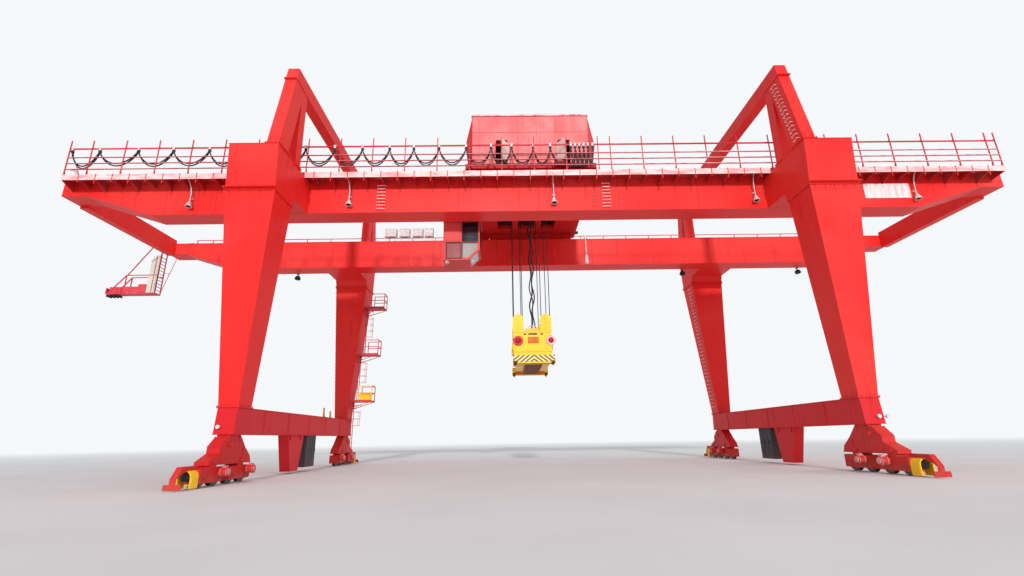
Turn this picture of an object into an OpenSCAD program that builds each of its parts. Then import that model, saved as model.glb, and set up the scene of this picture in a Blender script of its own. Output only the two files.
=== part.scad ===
// Rail-mounted container gantry crane, scale 1:2, in millimetres of the model.
// X runs along the girders, Y along the ground track, Z up from the wheel treads.
// The origin is on the floor, midway between the four corners.

/* [Track] */
// Distance between the two ground rails
gauge = 15000; // [12000:500:16000]
// Distance from the middle of the crane to the middle of each corner bogie set
corner_y = 4350; // [4200:50:4600]
// Diameter of a ground wheel over its flanges
wheel_d = 340; // [300:10:360]
// Distance between the two wheels of one bogie
bogie_base = 560; // [520:10:600]
// Distance between the middles of the two bogies of one corner
bogie_pitch = 1150; // [1100:10:1250]

/* [Girders] */
// Overall length of a girder
girder_len = 28400; // [26000:200:30000]
// Width of a girder box
girder_w = 680; // [600:20:800]
// Height of a girder box
girder_h = 1086; // [900:20:1200]
// Underside of the girders
girder_z = 7344; // [7000:20:7600]
// Clear gap between the girders
girder_gap = 4206; // [4000:50:4400]
// Length of the tapered nose at each girder end
nose_len = 2758; // [2000:50:3200]
// Height of a girder at its tip
tip_h = 440; // [360:20:520]

/* [Portal] */
// Width of a leg where it meets the sill
foot_w = 468; // [400:10:560]
// Depth of a leg where it meets the sill
foot_d = 629; // [500:10:720]
// Outer face of a leg at the sill, from the middle of the crane
foot_y = 4393; // [4300:10:4450]
// Width of a leg where it meets the head box
top_w = 1270; // [1100:10:1400]
// Outer face of a leg at the head box, from the middle of the crane
top_y = 4830; // [4700:10:4900]
// Top face of the sill beam
sill_z = 1683; // [1600:10:1760]
// Height of the sill beam
sill_h = 613; // [560:10:660]
// Underside of the leg head boxes
head_z = 7066; // [6900:10:7150]
// Top of the leg head boxes
head_top = 8330; // [8250:10:8380]
// Thickness of a bolted flange plate
flange_t = 24; // [16:2:40]

/* [Saddle] */
// Width of a saddle frame along the girders
saddle_w = 320; // [260:10:400]
// Top of the saddle frames
saddle_top = 11170; // [11050:10:11400]
// Height of the saddle top beam
saddle_beam = 430; // [380:10:460]
// Depth of the sloping outer column
column_d = 564; // [480:10:620]
// Depth of the upright inner post
post_d = 332; // [280:10:400]

/* [Walkways] */
// Width of a walkway beside a girder
walk_w = 458; // [400:10:520]
// Thickness of a walkway deck
walk_t = 30; // [20:5:50]
// Height of the walkway's edge channel
toe_h = 170; // [140:10:200]
// Spacing of the railing posts
post_pitch = 960; // [900:10:980]
// Height of the top handrail
rail_h = 600; // [500:10:650]
// Height of the front posts, which also carry the cable track
mast_h = 1150; // [1000:10:1200]
// Width of a railing post or handrail bar
bar = 26; // [20:2:40]

/* [Trolley] */
// Middle of the trolley at rest, along the girders
trolley_x = -200; // [-800:20:800]
// Distance between the trolley wheels along the girders
trolley_base = 3300; // [3000:50:3600]
// Diameter of a trolley wheel
trolley_wheel_d = 260; // [220:10:300]
// Length of the machine house
house_len = 3600; // [3200:50:3900]
// Width of the machine house across the girders
house_w = 5600; // [5200:50:5700]
// Roof of the machine house
house_top = 10660; // [10300:20:10700]
// Thickness of the house walls
wall_t = 50; // [40:5:80]
// Width of a machine house doorway
door_w = 380; // [340:10:420]
// Height of a machine house doorway
door_h = 700; // [660:10:1020]

/* [Cab] */
// Length of the cab along the girders
cab_len = 1130; // [1000:10:1300]
// Width of the cab across the girders
cab_w = 900; // [800:10:1000]
// Floor of the cab
cab_z = 6150; // [6000:10:6300]
// Height of the cab
cab_h = 1330; // [1200:10:1400]
// Thickness of the cab walls
cab_t = 40; // [30:5:60]

/* [Spreader] */
// Length of the spreader across the girders
spreader_len = 3090; // [2900:10:3200]
// Width of the spreader
spreader_w = 1240; // [1100:10:1300]
// Underside of the spreader at rest
spreader_z = 3010; // [2900:10:3100]
// Diameter of a hoist rope
rope_d = 22; // [16:1:30]
// Diameter of a rope sheave
sheave_d = 300; // [240:10:340]

/* [Hidden] */
$fn = 48;

red = [0.90, 0.10, 0.08];
dark_red = [0.72, 0.06, 0.07];
yellow = [0.98, 0.78, 0.06];
steel = [0.45, 0.45, 0.47];
dark = [0.10, 0.10, 0.12];
beige = [0.80, 0.76, 0.68];

rail_x = gauge / 2;
girder_end = girder_len / 2;
girder_top = girder_z + girder_h;
girder_in = girder_gap / 2;
girder_out = girder_in + girder_w;
girder_mid = girder_in + girder_w / 2;
tip_len = 717;
tie_w = 250;
tie_drop = 70;
foot_in = foot_y - foot_d;
head_in = top_y - foot_d - 390;
head_front = top_y + 130;
sill_bottom = sill_z - sill_h;
saddle_x = rail_x - top_w / 2;
seam = 0.5;

// Ground wheels, bogies and buffers
axle_d = 70;
axle_z = wheel_d / 2;
tread_r = wheel_d / 2 - 20;
frame_w = 300;
frame_top = 380;
bogie_half = bogie_base / 2 + wheel_d / 2 + 20;
buffer_y = corner_y + bogie_pitch / 2 + bogie_half;
hood_r = 150;
hood_len = 250;
left_motors = [corner_y - bogie_pitch / 2 - bogie_base / 2, corner_y + bogie_pitch / 2 - bogie_base / 2];
right_motors = [corner_y - bogie_pitch / 2 + bogie_base / 2, corner_y + bogie_pitch / 2 - bogie_base / 4];

// Walkways, railings and the trailing cable
walk_out = girder_out + walk_w;
walk_end = girder_end - 300;
track_y = walk_out - 2 * bar - 15;
track_z = girder_top + mast_h - 260;
cable_d = 40;
loop_len = 1650;
hanger_part = [-0.975, -0.918, -0.838, -0.765, -0.69, -0.623, -0.556, -0.489, -0.428, -0.37, -0.313,
               -0.262, -0.209, -0.152, -0.099, -0.056, -0.01, 0.026, 0.07, 0.079, 0.088, 0.097, 0.106, 0.116];
hanger_x = [for (f = hanger_part) f * girder_end];

// Landings of the rear left leg
landings = [2350, 4200, 6150];
landing_len = 850;
landing_w = 500;
landing_y = foot_in + 60;

// Trolley, cab and spreader
deck_z = girder_top + 60 + trolley_wheel_d + 20;
house_z = deck_z + 160;
door_x = [-1080, 830];
pin_d = 26;
cab_x = -2740;
cab_y = -1900;
cab_nose = 340;
sill_line = 560;
rope_x = 440;
rope_y = 700;
rope_r = sheave_d / 2 - rope_d / 2 + 0.3;
sheave_z = 4517;
head_low = spreader_z + 230;
head_high = 4112;

// Solid between two opposite corners
module block(lo, hi) {
    translate(lo) cube(hi - lo);
}

// Outline of Y and Z points, drawn out along X
module along_x(points, x0, x1) {
    translate([x0, 0, 0]) rotate([90, 0, 90]) linear_extrude(x1 - x0) polygon(points);
}

// Outline of X and Z points, drawn out along Y
module along_y(points, y0, y1) {
    translate([0, y1, 0]) rotate([90, 0, 0]) linear_extrude(y1 - y0) polygon(points);
}

// Round bar along X
module round_x(centre, d, length) {
    translate(centre) rotate([0, 90, 0]) cylinder(d = d, h = length, center = true);
}

// Round bar along Y
module round_y(centre, d, length) {
    translate(centre) rotate([90, 0, 0]) cylinder(d = d, h = length, center = true);
}

// A piece and its mirror image across the middle plane of the gauge
module both_rails() {
    children();
    mirror([1, 0, 0]) children();
}

// A piece and its mirror image across the middle plane of the girders
module both_girders() {
    children();
    mirror([0, 1, 0]) children();
}

// Moves a piece drawn for the front left corner to another corner
module corner(side, face) {
    mirror([side > 0 ? 1 : 0, 0, 0]) mirror([0, face > 0 ? 1 : 0, 0]) children();
}

// Box girder with a tapered nose at both ends
module girder() {
    end = girder_end;
    knee = end - tip_len;
    outline = [
        [-end, girder_top], [end, girder_top],
        [end, girder_top - tip_h], [knee, girder_top - tip_h],
        [end - nose_len, girder_z], [nose_len - end, girder_z],
        [-knee, girder_top - tip_h], [-end, girder_top - tip_h]
    ];
    along_y(outline, -girder_out, -girder_in);
}

module front_girder() {
    color(red) girder();
}

module rear_girder() {
    color(red) mirror([0, 1, 0]) girder();
}

// Box beams that tie the girder tips together
module end_ties() {
    color(dark_red) both_rails()
        block([-girder_end, -girder_in, girder_top - tip_h - tie_drop],
              [tie_w - girder_end, girder_in, girder_top + 120]);
}

// Leg that widens from the sill to the head box
module leg() {
    low = sill_z + flange_t;
    high = head_z - flange_t;
    front = [
        [-rail_x - foot_w / 2, low], [-rail_x + foot_w / 2, low],
        [-rail_x + top_w / 2, high], [-rail_x - top_w / 2, high]
    ];
    side = [[-foot_y, low], [-foot_in, low], [-head_in, high], [-top_y, high]];
    intersection() {
        along_y(front, -top_y - 10, -foot_in + 400);
        along_x(side, -rail_x - top_w, -rail_x + top_w);
    }
    block([-rail_x - foot_w / 2 - 30, -foot_y - 30, sill_z],
          [-rail_x + foot_w / 2 + 30, -foot_in + 30, low]);
    block([-rail_x - top_w / 2 - 25, -top_y - 25, high],
          [-rail_x + top_w / 2 + 25, -head_in + 25, head_z]);
}

module front_left_leg() {
    color(red) corner(-1, -1) leg();
}

module front_right_leg() {
    color(red) corner(1, -1) leg();
}

module rear_left_leg() {
    color(red) corner(-1, 1) leg();
}

module rear_right_leg() {
    color(red) corner(1, 1) leg();
}

// Head box that carries a girder on a leg
module head() {
    side = [
        [-top_y, head_z + flange_t], [-head_in, head_z + flange_t],
        [-head_in + 120, girder_z], [-girder_out, girder_z],
        [-girder_out, head_top], [-head_front, head_top]
    ];
    along_x(side, -rail_x - top_w / 2, -rail_x + top_w / 2);
    block([-rail_x - top_w / 2 - 25, -top_y - 25, head_z],
          [-rail_x + top_w / 2 + 25, -head_in + 25, head_z + flange_t]);
}

module front_left_head() {
    color(red) corner(-1, -1) head();
}

module front_right_head() {
    color(red) corner(1, -1) head();
}

module rear_left_head() {
    color(red) corner(-1, 1) head();
}

module rear_right_head() {
    color(red) corner(1, 1) head();
}

// Sill beam along the ground rail, with raked ends over the bogies
module sill() {
    rake = 57;
    side = [
        [-foot_y, sill_z], [foot_y, sill_z],
        [foot_y + rake, sill_bottom], [-foot_y - rake, sill_bottom]
    ];
    along_x(side, -rail_x - foot_w / 2, -rail_x + foot_w / 2);
}

module left_sill() {
    color(dark_red) sill();
}

module right_sill() {
    color(dark_red) mirror([1, 0, 0]) sill();
}

// Saddle frame: sloping columns, upright posts and a top beam over the trolley
module saddle() {
    lean = 615;
    slit_top = saddle_top - 870;
    apex_y = head_front - lean;
    beam_z = saddle_top - saddle_beam;
    post_y = head_front - column_d - 474;
    half = [
        [-head_front, head_top], [-apex_y, saddle_top],
        [0, saddle_top], [0, beam_z],
        [-post_y + post_d - 60, beam_z], [-post_y + post_d, head_top],
        [-post_y, head_top], [-post_y - 48, slit_top],
        [-head_front + column_d, head_top]
    ];
    along_x(half, -saddle_x - saddle_w, -saddle_x);
    mirror([0, 1, 0]) along_x(half, -saddle_x - saddle_w, -saddle_x);
}

module left_saddle() {
    color(red) saddle();
}

module right_saddle() {
    color(red) mirror([1, 0, 0]) saddle();
}

// Stepped beam that spreads a corner's load on two bogies
module equaliser() {
    top = sill_bottom;
    low = 430;
    side = [
        [-corner_y - 50, top], [-corner_y + 420, top],
        [-corner_y + 715, 780], [-corner_y + 970, 590],
        [-corner_y + 1040, low], [-corner_y - 775, low],
        [-corner_y - 770, 510], [-corner_y - 390, 670],
        [-corner_y - 380, 820], [-corner_y - 130, top - 50],
        [-corner_y - 50, top - 50]
    ];
    along_x(side, -rail_x - frame_w / 2, -rail_x + frame_w / 2);
}

module left_equalisers() {
    color(red) both_girders() equaliser();
}

module right_equalisers() {
    color(red) mirror([1, 0, 0]) both_girders() equaliser();
}

// Bogie frame: two bored side plates, end plates and a pivot block on top
module bogie(y) {
    plate = 24;
    difference() {
        union() {
            for (s = [-1, 1])
                translate([s * (frame_w - plate) / 2, 0, 0])
                    block([-rail_x - plate / 2, y - bogie_half, 90],
                          [-rail_x + plate / 2, y + bogie_half, frame_top]);
            for (s = [-1, 1])
                block([-rail_x - frame_w / 2, y + s * (bogie_half - 10) - 10, 90],
                      [-rail_x + frame_w / 2, y + s * (bogie_half - 10) + 10, frame_top]);
            block([-rail_x - frame_w / 2, y - bogie_half, frame_top - plate],
                  [-rail_x + frame_w / 2, y + bogie_half, frame_top]);
            block([-rail_x - frame_w / 2, y - 130, frame_top], [-rail_x + frame_w / 2, y + 130, 430]);
        }
        for (s = [-1, 1])
            round_x([-rail_x, y + s * bogie_base / 2, axle_z], axle_d + 1, frame_w + 10);
    }
}

// Drive motor on the inner side of a bogie frame, above the axle end
module motor(y) {
    face = -rail_x + frame_w / 2;
    block([face, y - 70, axle_z + 45], [face + 40, y + 70, axle_z + 185]);
    round_x([face + 120, y, axle_z + 115], 190, 160);
    round_x([face + 210, y, axle_z + 115], 120, 20);
}

module corner_bogies(motors) {
    for (s = [-1, 1])
        bogie(-corner_y + s * bogie_pitch / 2);
    for (y = motors)
        motor(-y);
}

module left_bogies() {
    color(red) both_girders() corner_bogies(left_motors);
}

module right_bogies() {
    color(red) mirror([1, 0, 0]) both_girders() corner_bogies(right_motors);
}

// Double-flanged ground wheel on its axle, number 1 to 4 from the outer end
module wheel(side, face, number) {
    bogie_y = (number < 3 ? 1 : -1) * bogie_pitch / 2;
    wheel_y = face * (corner_y + bogie_y + (number % 2 == 1 ? 1 : -1) * bogie_base / 2);
    centre = [side * rail_x, wheel_y, wheel_d / 2];
    color(steel) {
        round_x(centre, 2 * tread_r, 110);
        for (s = [-1, 1])
            round_x(centre + [s * 50, 0, 0], wheel_d, 20);
        round_x(centre, axle_d, 330);
    }
}

// Rubber buffers inside yellow hoods at the four ends of the ground track, with rail sweepers
module buffers() {
    wall = 30;
    mid = 230;
    low = 20;
    beam = 65;
    front = buffer_y + 600;
    both_rails() both_girders() {
        color(yellow) along_y(concat(
            [for (a = [0:15:180]) [-rail_x + hood_r * cos(a), mid + hood_r * sin(a)]],
            [[-rail_x - hood_r, low], [-rail_x - hood_r + wall, low]],
            [for (a = [180:-15:0]) [-rail_x + (hood_r - wall) * cos(a), mid + (hood_r - wall) * sin(a)]],
            [[-rail_x + hood_r - wall, low], [-rail_x + hood_r, low]]),
            -buffer_y - hood_len, -buffer_y);
        color(dark) round_y([-rail_x, -buffer_y - hood_len / 2 + 10, mid], 160, hood_len - 20);
        color(red) {
            along_x([[-buffer_y + 100, frame_top], [-buffer_y + 100, frame_top + beam],
                     [170 - front, frame_top + beam], [-front, mid],
                     [-front, low], [30 - front, low], [30 - front, mid - 10],
                     [-buffer_y - hood_len - 60, frame_top - 10], [-buffer_y, frame_top - 10],
                     [-buffer_y, frame_top]],
                    -rail_x - 60, -rail_x + 60);
            block([-rail_x - hood_r - 20, -front, low], [-rail_x + hood_r + 20, 30 - front, low + 110]);
        }
    }
}

// Trolley rails on the girders
module trolley_rails() {
    end = girder_end - 300;
    color(steel) both_girders()
        block([-end, -girder_mid - 30, girder_top], [end, -girder_mid + 30, girder_top + 60]);
}

// Walkway deck on brackets beside the front girder, with its edge channel
module walkway() {
    block([-walk_end, -walk_out, girder_top - walk_t], [walk_end, -girder_out, girder_top]);
    difference() {
        block([-walk_end, -walk_out - 16, girder_top + 10 - toe_h],
              [walk_end, -walk_out, girder_top + 10]);
        both_rails()
            block([-rail_x - top_w / 2, -walk_out - 30, head_z],
                  [-rail_x + top_w / 2, -walk_out + 10, head_top]);
    }
    count = floor(4 * walk_end / post_pitch);
    pitch = (2 * walk_end - 40) / count;
    for (i = [0:count]) {
        x = 10 - walk_end + i * pitch;
        low = girder_top - (i % 2 == 0 ? 330 : 230);
        bracket = [[-walk_out, girder_top - toe_h + 10], [-walk_out, girder_top - walk_t],
                   [-girder_out, girder_top - walk_t], [-girder_out, low]];
        if (abs(abs(x + 10) - rail_x) > top_w / 2 + 60)
            along_x(bracket, x, x + 20);
    }
}

module front_walkway() {
    color(dark_red) walkway();
}

module rear_walkway() {
    color(dark_red) mirror([0, 1, 0]) walkway();
}

// Places of the railing posts: two runs on the cantilevers and two between the legs
post_x = concat(
    [20 - walk_end, walk_end - 20],
    [for (i = [0:5]) 970 - girder_end + i * (post_pitch + 20)],
    [for (i = [0:9]) 20 - saddle_x + i * post_pitch],
    [for (i = [0:5]) saddle_x - 4700 + i * post_pitch],
    [for (i = [0:5]) girder_end - 600 - i * (post_pitch + 20)]);

// Railing posts and handrails
module railing(height) {
    y = walk_out - bar;
    for (x = post_x)
        block([x - bar / 2, -y - bar, girder_top], [x + bar / 2, -y, girder_top + height]);
    for (h = [rail_h * 0.35, rail_h * 0.67, rail_h])
        block([-walk_end, -y - bar, girder_top + h - bar], [walk_end, -y, girder_top + h]);
}

module front_railing() {
    color(red) railing(mast_h);
}

module rear_railing() {
    color(red) mirror([0, 1, 0]) railing(rail_h);
}

// Track for the trailing cable on arms from the front posts, with the cable's hangers
module festoon_track() {
    color(red) {
        block([-walk_end, -track_y - 15, track_z], [walk_end, -track_y + 15, track_z + 40]);
        for (x = post_x)
            block([x - bar / 2, -walk_out + bar, track_z], [x + bar / 2, -track_y, track_z + 40]);
        for (x = hanger_x)
            block([x - 30, -track_y - 12, track_z - 60], [x + 30, -track_y + 12, track_z]);
    }
}

// Trailing cable in loops between its hangers
function loop_sag(w) = 0.33 * sqrt(loop_len * loop_len - w * w);
cable_points = concat(
    [for (i = [0:len(hanger_x) - 2]) for (t = [0, 1 / 3, 2 / 3])
        let (w = hanger_x[i + 1] - hanger_x[i])
        [hanger_x[i] + t * w, -track_y, track_z - 60 - cable_d / 2 - 4 * loop_sag(w) * t * (1 - t)]],
    [[hanger_x[len(hanger_x) - 1], -track_y, track_z - 60 - cable_d / 2]]);

// Tube of many sides along a list of points
module tube(points, d, sides) {
    n = len(points);
    verts = [for (i = [0:n - 1])
        let (
            a = points[max(i - 1, 0)],
            b = points[min(i + 1, n - 1)],
            dir = (b - a) / norm(b - a),
            side = cross(dir, [0, 1, 0]),
            u = side / norm(side),
            v = cross(dir, u)
        )
        for (k = [0:sides - 1])
            points[i] + d / 2 * (u * cos(360 * k / sides) + v * sin(360 * k / sides))];
    faces = concat(
        [[for (k = [0:sides - 1]) k]],
        [for (i = [0:n - 2]) for (k = [0:sides - 1])
            [i * sides + k, (i + 1) * sides + k,
             (i + 1) * sides + (k + 1) % sides, i * sides + (k + 1) % sides]],
        [[for (k = [sides - 1:-1:0]) (n - 1) * sides + k]]);
    polyhedron(verts, faces);
}

module festoon_cable() {
    color(dark) tube(cable_points, cable_d, 8);
}

// Tapered legs that pin the crane down when it is parked
module parking_anchors() {
    low = 60;
    side = [[-1250, sill_bottom], [-100, sill_bottom], [-350, low], [-900, low]];
    color(red) both_rails() along_x(side, -rail_x - 150, -rail_x + 150);
}

// Switch cabinets hung below the sills
module sill_cabinets() {
    color(dark) both_rails()
        block([-rail_x - 180, 50, 130], [-rail_x + 180, 850, sill_bottom]);
}

// Inner face of the rear left leg at a height
function leg_face(z) =
    -rail_x + foot_w / 2 + (top_w - foot_w) / 2 * (z - sill_z - flange_t) / (head_z - sill_z - 2 * flange_t);

// Landings on brackets on the inner face of the rear left leg, each with a guard rail
module leg_platforms() {
    gate = 300;
    brace = 260;
    color(red) for (z = landings)
        translate([leg_face(z + 30), landing_y, z]) {
            cube([landing_len, landing_w, 30]);
            for (y = [0, landing_w - bar]) {
                translate([4, y, -brace]) cube([bar, bar, brace]);
                along_y([[30, -brace], [30, 35 - brace], [landing_len - 60, 0], [landing_len - 20, 0]],
                        y, y + bar);
                for (x = [gate, landing_len - bar])
                    translate([x, y, 30]) cube([bar, bar, rail_h]);
                for (h = [rail_h / 2, rail_h - bar])
                    translate([gate, y, 30 + h]) cube([landing_len - gate, bar, bar]);
            }
            for (h = [rail_h / 2, rail_h - bar])
                translate([landing_len - bar, 0, 30 + h]) cube([bar, landing_w, bar]);
        }
}

// Ladder with its two stiles and rungs, between two heights
module ladder(x, y, z0, z1) {
    half = 110;
    for (s = [-1, 1])
        block([x - 10, y + s * half - 10, z0], [x + 10, y + s * half + 10, z1]);
    for (z = [z0 + 60:150:z1 - 20])
        round_y([x, y, z], 14, 2 * half);
}

// Ladders from the ground to the first landing and from landing to landing
module leg_ladders() {
    y = landing_y + landing_w / 2;
    color(red) {
        for (i = [0:len(landings) - 1])
            ladder(leg_face(landings[i]) + 80, y, i == 0 ? 150 : landings[i - 1] + 30, landings[i]);
        for (z = [sill_bottom + 60, sill_z - 80], s = [-1, 1])
            block([-rail_x + foot_w / 2, y + s * 110 - 10, z],
                  [leg_face(landings[0]) + 70, y + s * 110 + 10, z + 20]);
    }
}

// Access platform hung outboard of the left end tie on a narrow ladder, posts and a slanting stay
module hanging_platform() {
    low = 6300;
    reach = 1850;
    near = 1780;
    far = girder_in;
    stile = 30;
    rail_up = low + 750;
    tie_low = girder_top - tip_h - tie_drop;
    knee_x = -girder_end - reach * 0.65;
    knee = [knee_x + stile, near, rail_up - stile];
    stay = [-girder_end, near - 520, tie_low + 60] - knee;
    color(red) {
        block([-girder_end - reach, near, low], [-girder_end, far, low + 40]);
        block([-girder_end - reach, near, low + 40], [-girder_end - reach + stile, far, low + 240]);
        for (y = [near, far - stile]) {
            block([-girder_end - stile, y, low + 40], [-girder_end, y + stile, tie_low + 200]);
            block([knee_x, y, low + 40], [knee_x + stile, y + stile, rail_up]);
            block([knee_x, y, rail_up - stile], [-girder_end - stile, y + stile, rail_up]);
            along_y([[-girder_end - reach + 60, low + 40], [-girder_end - reach + 110, low + 40],
                     [knee_x + stile, rail_up - stile], [knee_x, rail_up - 10]],
                    y, y + stile);
        }
        difference() {
            translate(knee) rotate([0, -asin(stay[2] / norm(stay)), atan2(stay[1], stay[0])])
                translate([-10, 0, -stile / 2]) cube([norm(stay) + 40, stile, stile]);
            block([-girder_end, near - 700, tie_low - 100], [-girder_end + 100, near, tie_low + 250]);
        }
        for (z = [low + 140:130:tie_low - 60])
            block([-girder_end - stile, near + stile, z], [-girder_end - 10, far - stile, z + 20]);
    }
}

// Trolley deck with rope beams, side beams, wheel brackets, cab beam, landing and tow arm
module trolley_frame() {
    half = house_len / 2 + 200;
    gap = 70;
    well_y = rope_y + 1100;
    beam = 120;
    sill_low = girder_top + 110;
    color(dark_red) translate([trolley_x, 0, 0]) {
        difference() {
            block([-half, -house_w / 2, deck_z], [half, house_w / 2, house_z]);
            both_rails() block([-1100, -well_y, deck_z - 10], [-rope_x - beam, well_y, house_z + 10]);
            block([-rope_x + beam, -well_y, deck_z - 10], [rope_x - beam, well_y, house_z + 10]);
        }
        block([cab_x, cab_y, deck_z], [-half, cab_y + cab_w, house_z - 60]);
        both_girders() {
            block([-trolley_base / 2 + 200, -girder_mid - 100, sill_low],
                  [trolley_base / 2 - 200, -girder_mid + 100, deck_z]);
            both_rails() for (s = [-1, 1])
                translate([-trolley_base / 2, -girder_mid + s * (gap + 10), 0])
                    block([-180, -10, sill_low], [180, 10, deck_z]);
        }
        landing(door_x[1] - 130, door_x[1] + door_w - 100);
        tow_arm(half - 860, half - 400);
    }
}

// Small landing with an edge channel in front of the right doorway of the house
module landing(x0, x1) {
    y = -house_w / 2;
    out = 230;
    block([x0, y - out, house_z - 60], [x1, y, house_z - 30]);
    block([x0, y - out, house_z - 200], [x1, y - out + bar, house_z - 60]);
}

// Bar on two arms that pulls the bunched loops of the trailing cable along
module tow_arm(x0, x1) {
    y = -house_w / 2;
    block([x0, y - 290, deck_z - 190], [x1, y - 250, deck_z - 70]);
    for (x = [x0, x1 - 40])
        block([x, y - 250, deck_z - 110], [x + 40, y + 80, deck_z]);
}

module trolley_wheels() {
    color(steel) translate([trolley_x, 0, 0]) both_rails() both_girders() {
        centre = [-trolley_base / 2, -girder_mid, girder_top + 60 + seam + trolley_wheel_d / 2];
        round_y(centre, trolley_wheel_d, 100);
        round_y(centre, 60, 140);
    }
}

// Machine house walls with two doorways in the front
module house_walls() {
    lx = house_len / 2;
    ly = house_w / 2;
    color(red) translate([trolley_x, 0, 0])
        difference() {
            block([-lx, -ly, house_z], [lx, ly, house_top - 50]);
            block([-lx + wall_t, -ly + wall_t, house_z - 10], [lx - wall_t, ly - wall_t, house_top]);
            for (x = door_x)
                block([x, -ly - 10, house_z], [x + door_w, -ly + wall_t + 10, house_z + door_h]);
        }
    color(dark_red) translate([trolley_x, 0, 0]) both_rails() hood(lx, ly);
    color(dark) translate([trolley_x, 0, 0]) for (x = door_x)
        along_x([[-ly, house_z + door_h + 30], [-ly - 160, house_z + door_h + 10],
                 [-ly, house_z + door_h + 60]],
                x + 20, x + door_w - 20);
}

// Closed hood along one end of the house, widest below its middle
module hood(lx, ly) {
    low = house_z + 20;
    knee = house_z + 720;
    out = 225;
    foot = 130;
    bevel = 150;
    polyhedron(
        [[-lx, -ly, low], [-lx, ly, low], [-lx - foot, ly - bevel, low], [-lx - foot, bevel - ly, low],
         [-lx - out, ly - bevel, knee], [-lx - out, bevel - ly, knee],
         [-lx, -ly, house_top - 50], [-lx, ly, house_top - 50]],
        [[0, 1, 2, 3], [0, 3, 5], [0, 5, 6], [1, 4, 2], [1, 7, 4], [3, 2, 4, 5], [5, 4, 7, 6], [0, 6, 7, 1]]);
}

module house_roof() {
    lx = house_len / 2;
    ly = house_w / 2;
    color(red) translate([trolley_x, 0, 0])
        block([-lx - 20, -ly - 20, house_top - 50], [lx + 20, ly + 20, house_top]);
}

// Door leaves standing open outside their doorways, with their hinge edges on the wall
module house_doors() {
    swing = 55;
    leaf = door_w - 4;
    for (hinge = [[door_x[0] + door_w + pin_d / 2 + 2, 180 + swing], [door_x[1] - pin_d / 2 - 2, -swing]])
        color(beige) translate([trolley_x + hinge[0], -house_w / 2 - pin_d / 2, house_z + 5])
            rotate([0, 0, hinge[1]]) {
                translate([0, -7, 0]) cube([leaf, 14, door_h - 10]);
                cylinder(d = pin_d, h = door_h - 10);
            }
}

// Side outline of the cab, drawn in by a wall thickness, with the raked front
function cab_outline(t) = [
    [t, t], [cab_len - cab_nose - t * tan(22.5), t], [cab_len - t, cab_nose + t * tan(22.5)],
    [cab_len - t, cab_h - t], [t, cab_h - t]
];

// Window openings of the cab's sides, cut or filled over the given range across the wall
module side_windows(y0, y1) {
    edge = cab_len - 70;
    along_y([[600, sill_line + 60], [edge, sill_line + 60], [edge, cab_h - 80], [600, cab_h - 80]], y0, y1);
    along_y([[600, 70], [cab_len - cab_nose - 20, 70], [edge, cab_nose + 20],
             [edge, sill_line], [600, sill_line]], y0, y1);
    along_y([[110, 70], [540, 70], [540, sill_line], [110, sill_line]], y0, y1);
}

// Window openings of the cab's front and raked front, over the given range inward
module front_windows(x0, x1) {
    block([cab_len - x1, 60, sill_line + 60], [cab_len - x0, cab_w - 60, cab_h - 80]);
    translate([cab_len - cab_nose, 0, 0]) rotate([0, -45, 0])
        block([70, 60, x0], [cab_nose * sqrt(2) - 70, cab_w - 60, x1]);
}

// Cab with window openings, hung from the trolley on four posts
module cab_shell() {
    color(red) translate([trolley_x + cab_x, cab_y, cab_z]) {
        difference() {
            along_y(cab_outline(0), 0, cab_w);
            along_y(cab_outline(cab_t), cab_t, cab_w - cab_t);
            side_windows(-10, cab_t + 10);
            side_windows(cab_w - cab_t - 10, cab_w + 10);
            front_windows(-10, cab_t + 10);
        }
        for (x = [60, cab_len - 120], y = [60, cab_w - 120])
            block([x, y, cab_h], [x + 60, y + 60, deck_z - cab_z]);
    }
}

module cab_glass() {
    color([0.1, 0.15, 0.2, 0.5]) translate([trolley_x + cab_x, cab_y, cab_z]) {
        side_windows(15, 25);
        side_windows(cab_w - 25, cab_w - 15);
        front_windows(15, 25);
    }
}

// Hoist ropes from the trolley down to the sheaves
module hoist_ropes() {
    color(dark) for (x = [-rope_x, rope_x], y = [-rope_y, rope_y], s = [-1, 1])
        translate([trolley_x + x + s * rope_r, y, sheave_z])
            cylinder(d = rope_d, h = deck_z - sheave_z, $fn = 12);
}

// Yellow headblock with a sheave tower at each corner and a cable basket in the middle
module headblock() {
    w = 600;
    cheek = 10;
    tower = sheave_d / 2 + 27;
    hub = 130;
    color(yellow) translate([trolley_x, 0, 0]) {
        block([-w, -900, head_low], [w, 900, head_high]);
        for (x = [-rope_x, rope_x], y = [-rope_y, rope_y]) {
            for (s = [-1, 1]) {
                translate([0, y + s * 50, 0])
                    block([x - tower, -cheek, head_high], [x + tower, cheek, sheave_z]);
                round_y([x, y + s * 50, sheave_z], 2 * tower, 2 * cheek);
            }
            round_y([x, y, sheave_z], sheave_d - 2 * rope_d, 100);
        }
        for (s = [-1, 1], y = [-480, 480])
            translate([s * (w + 25), y, (head_low + head_high) / 2])
                rotate([0, 90, 0]) cylinder(d = 2 * hub, h = 50, center = true);
        difference() {
            block([-200, -350, head_high], [200, 350, head_high + 200]);
            block([-180, -330, head_high + 20], [180, 330, head_high + 210]);
        }
    }
}

// Main beam of the spreader with its locks to the headblock
module spreader_beam() {
    y = spreader_len / 2 - 300;
    color(yellow) translate([trolley_x, 0, 0]) {
        block([-280, -y, spreader_z + 20], [280, y, head_low]);
        block([-520, -780, head_low - 160], [-280, 780, head_low]);
        block([280, -780, head_low - 160], [520, 780, head_low]);
    }
}

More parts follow.
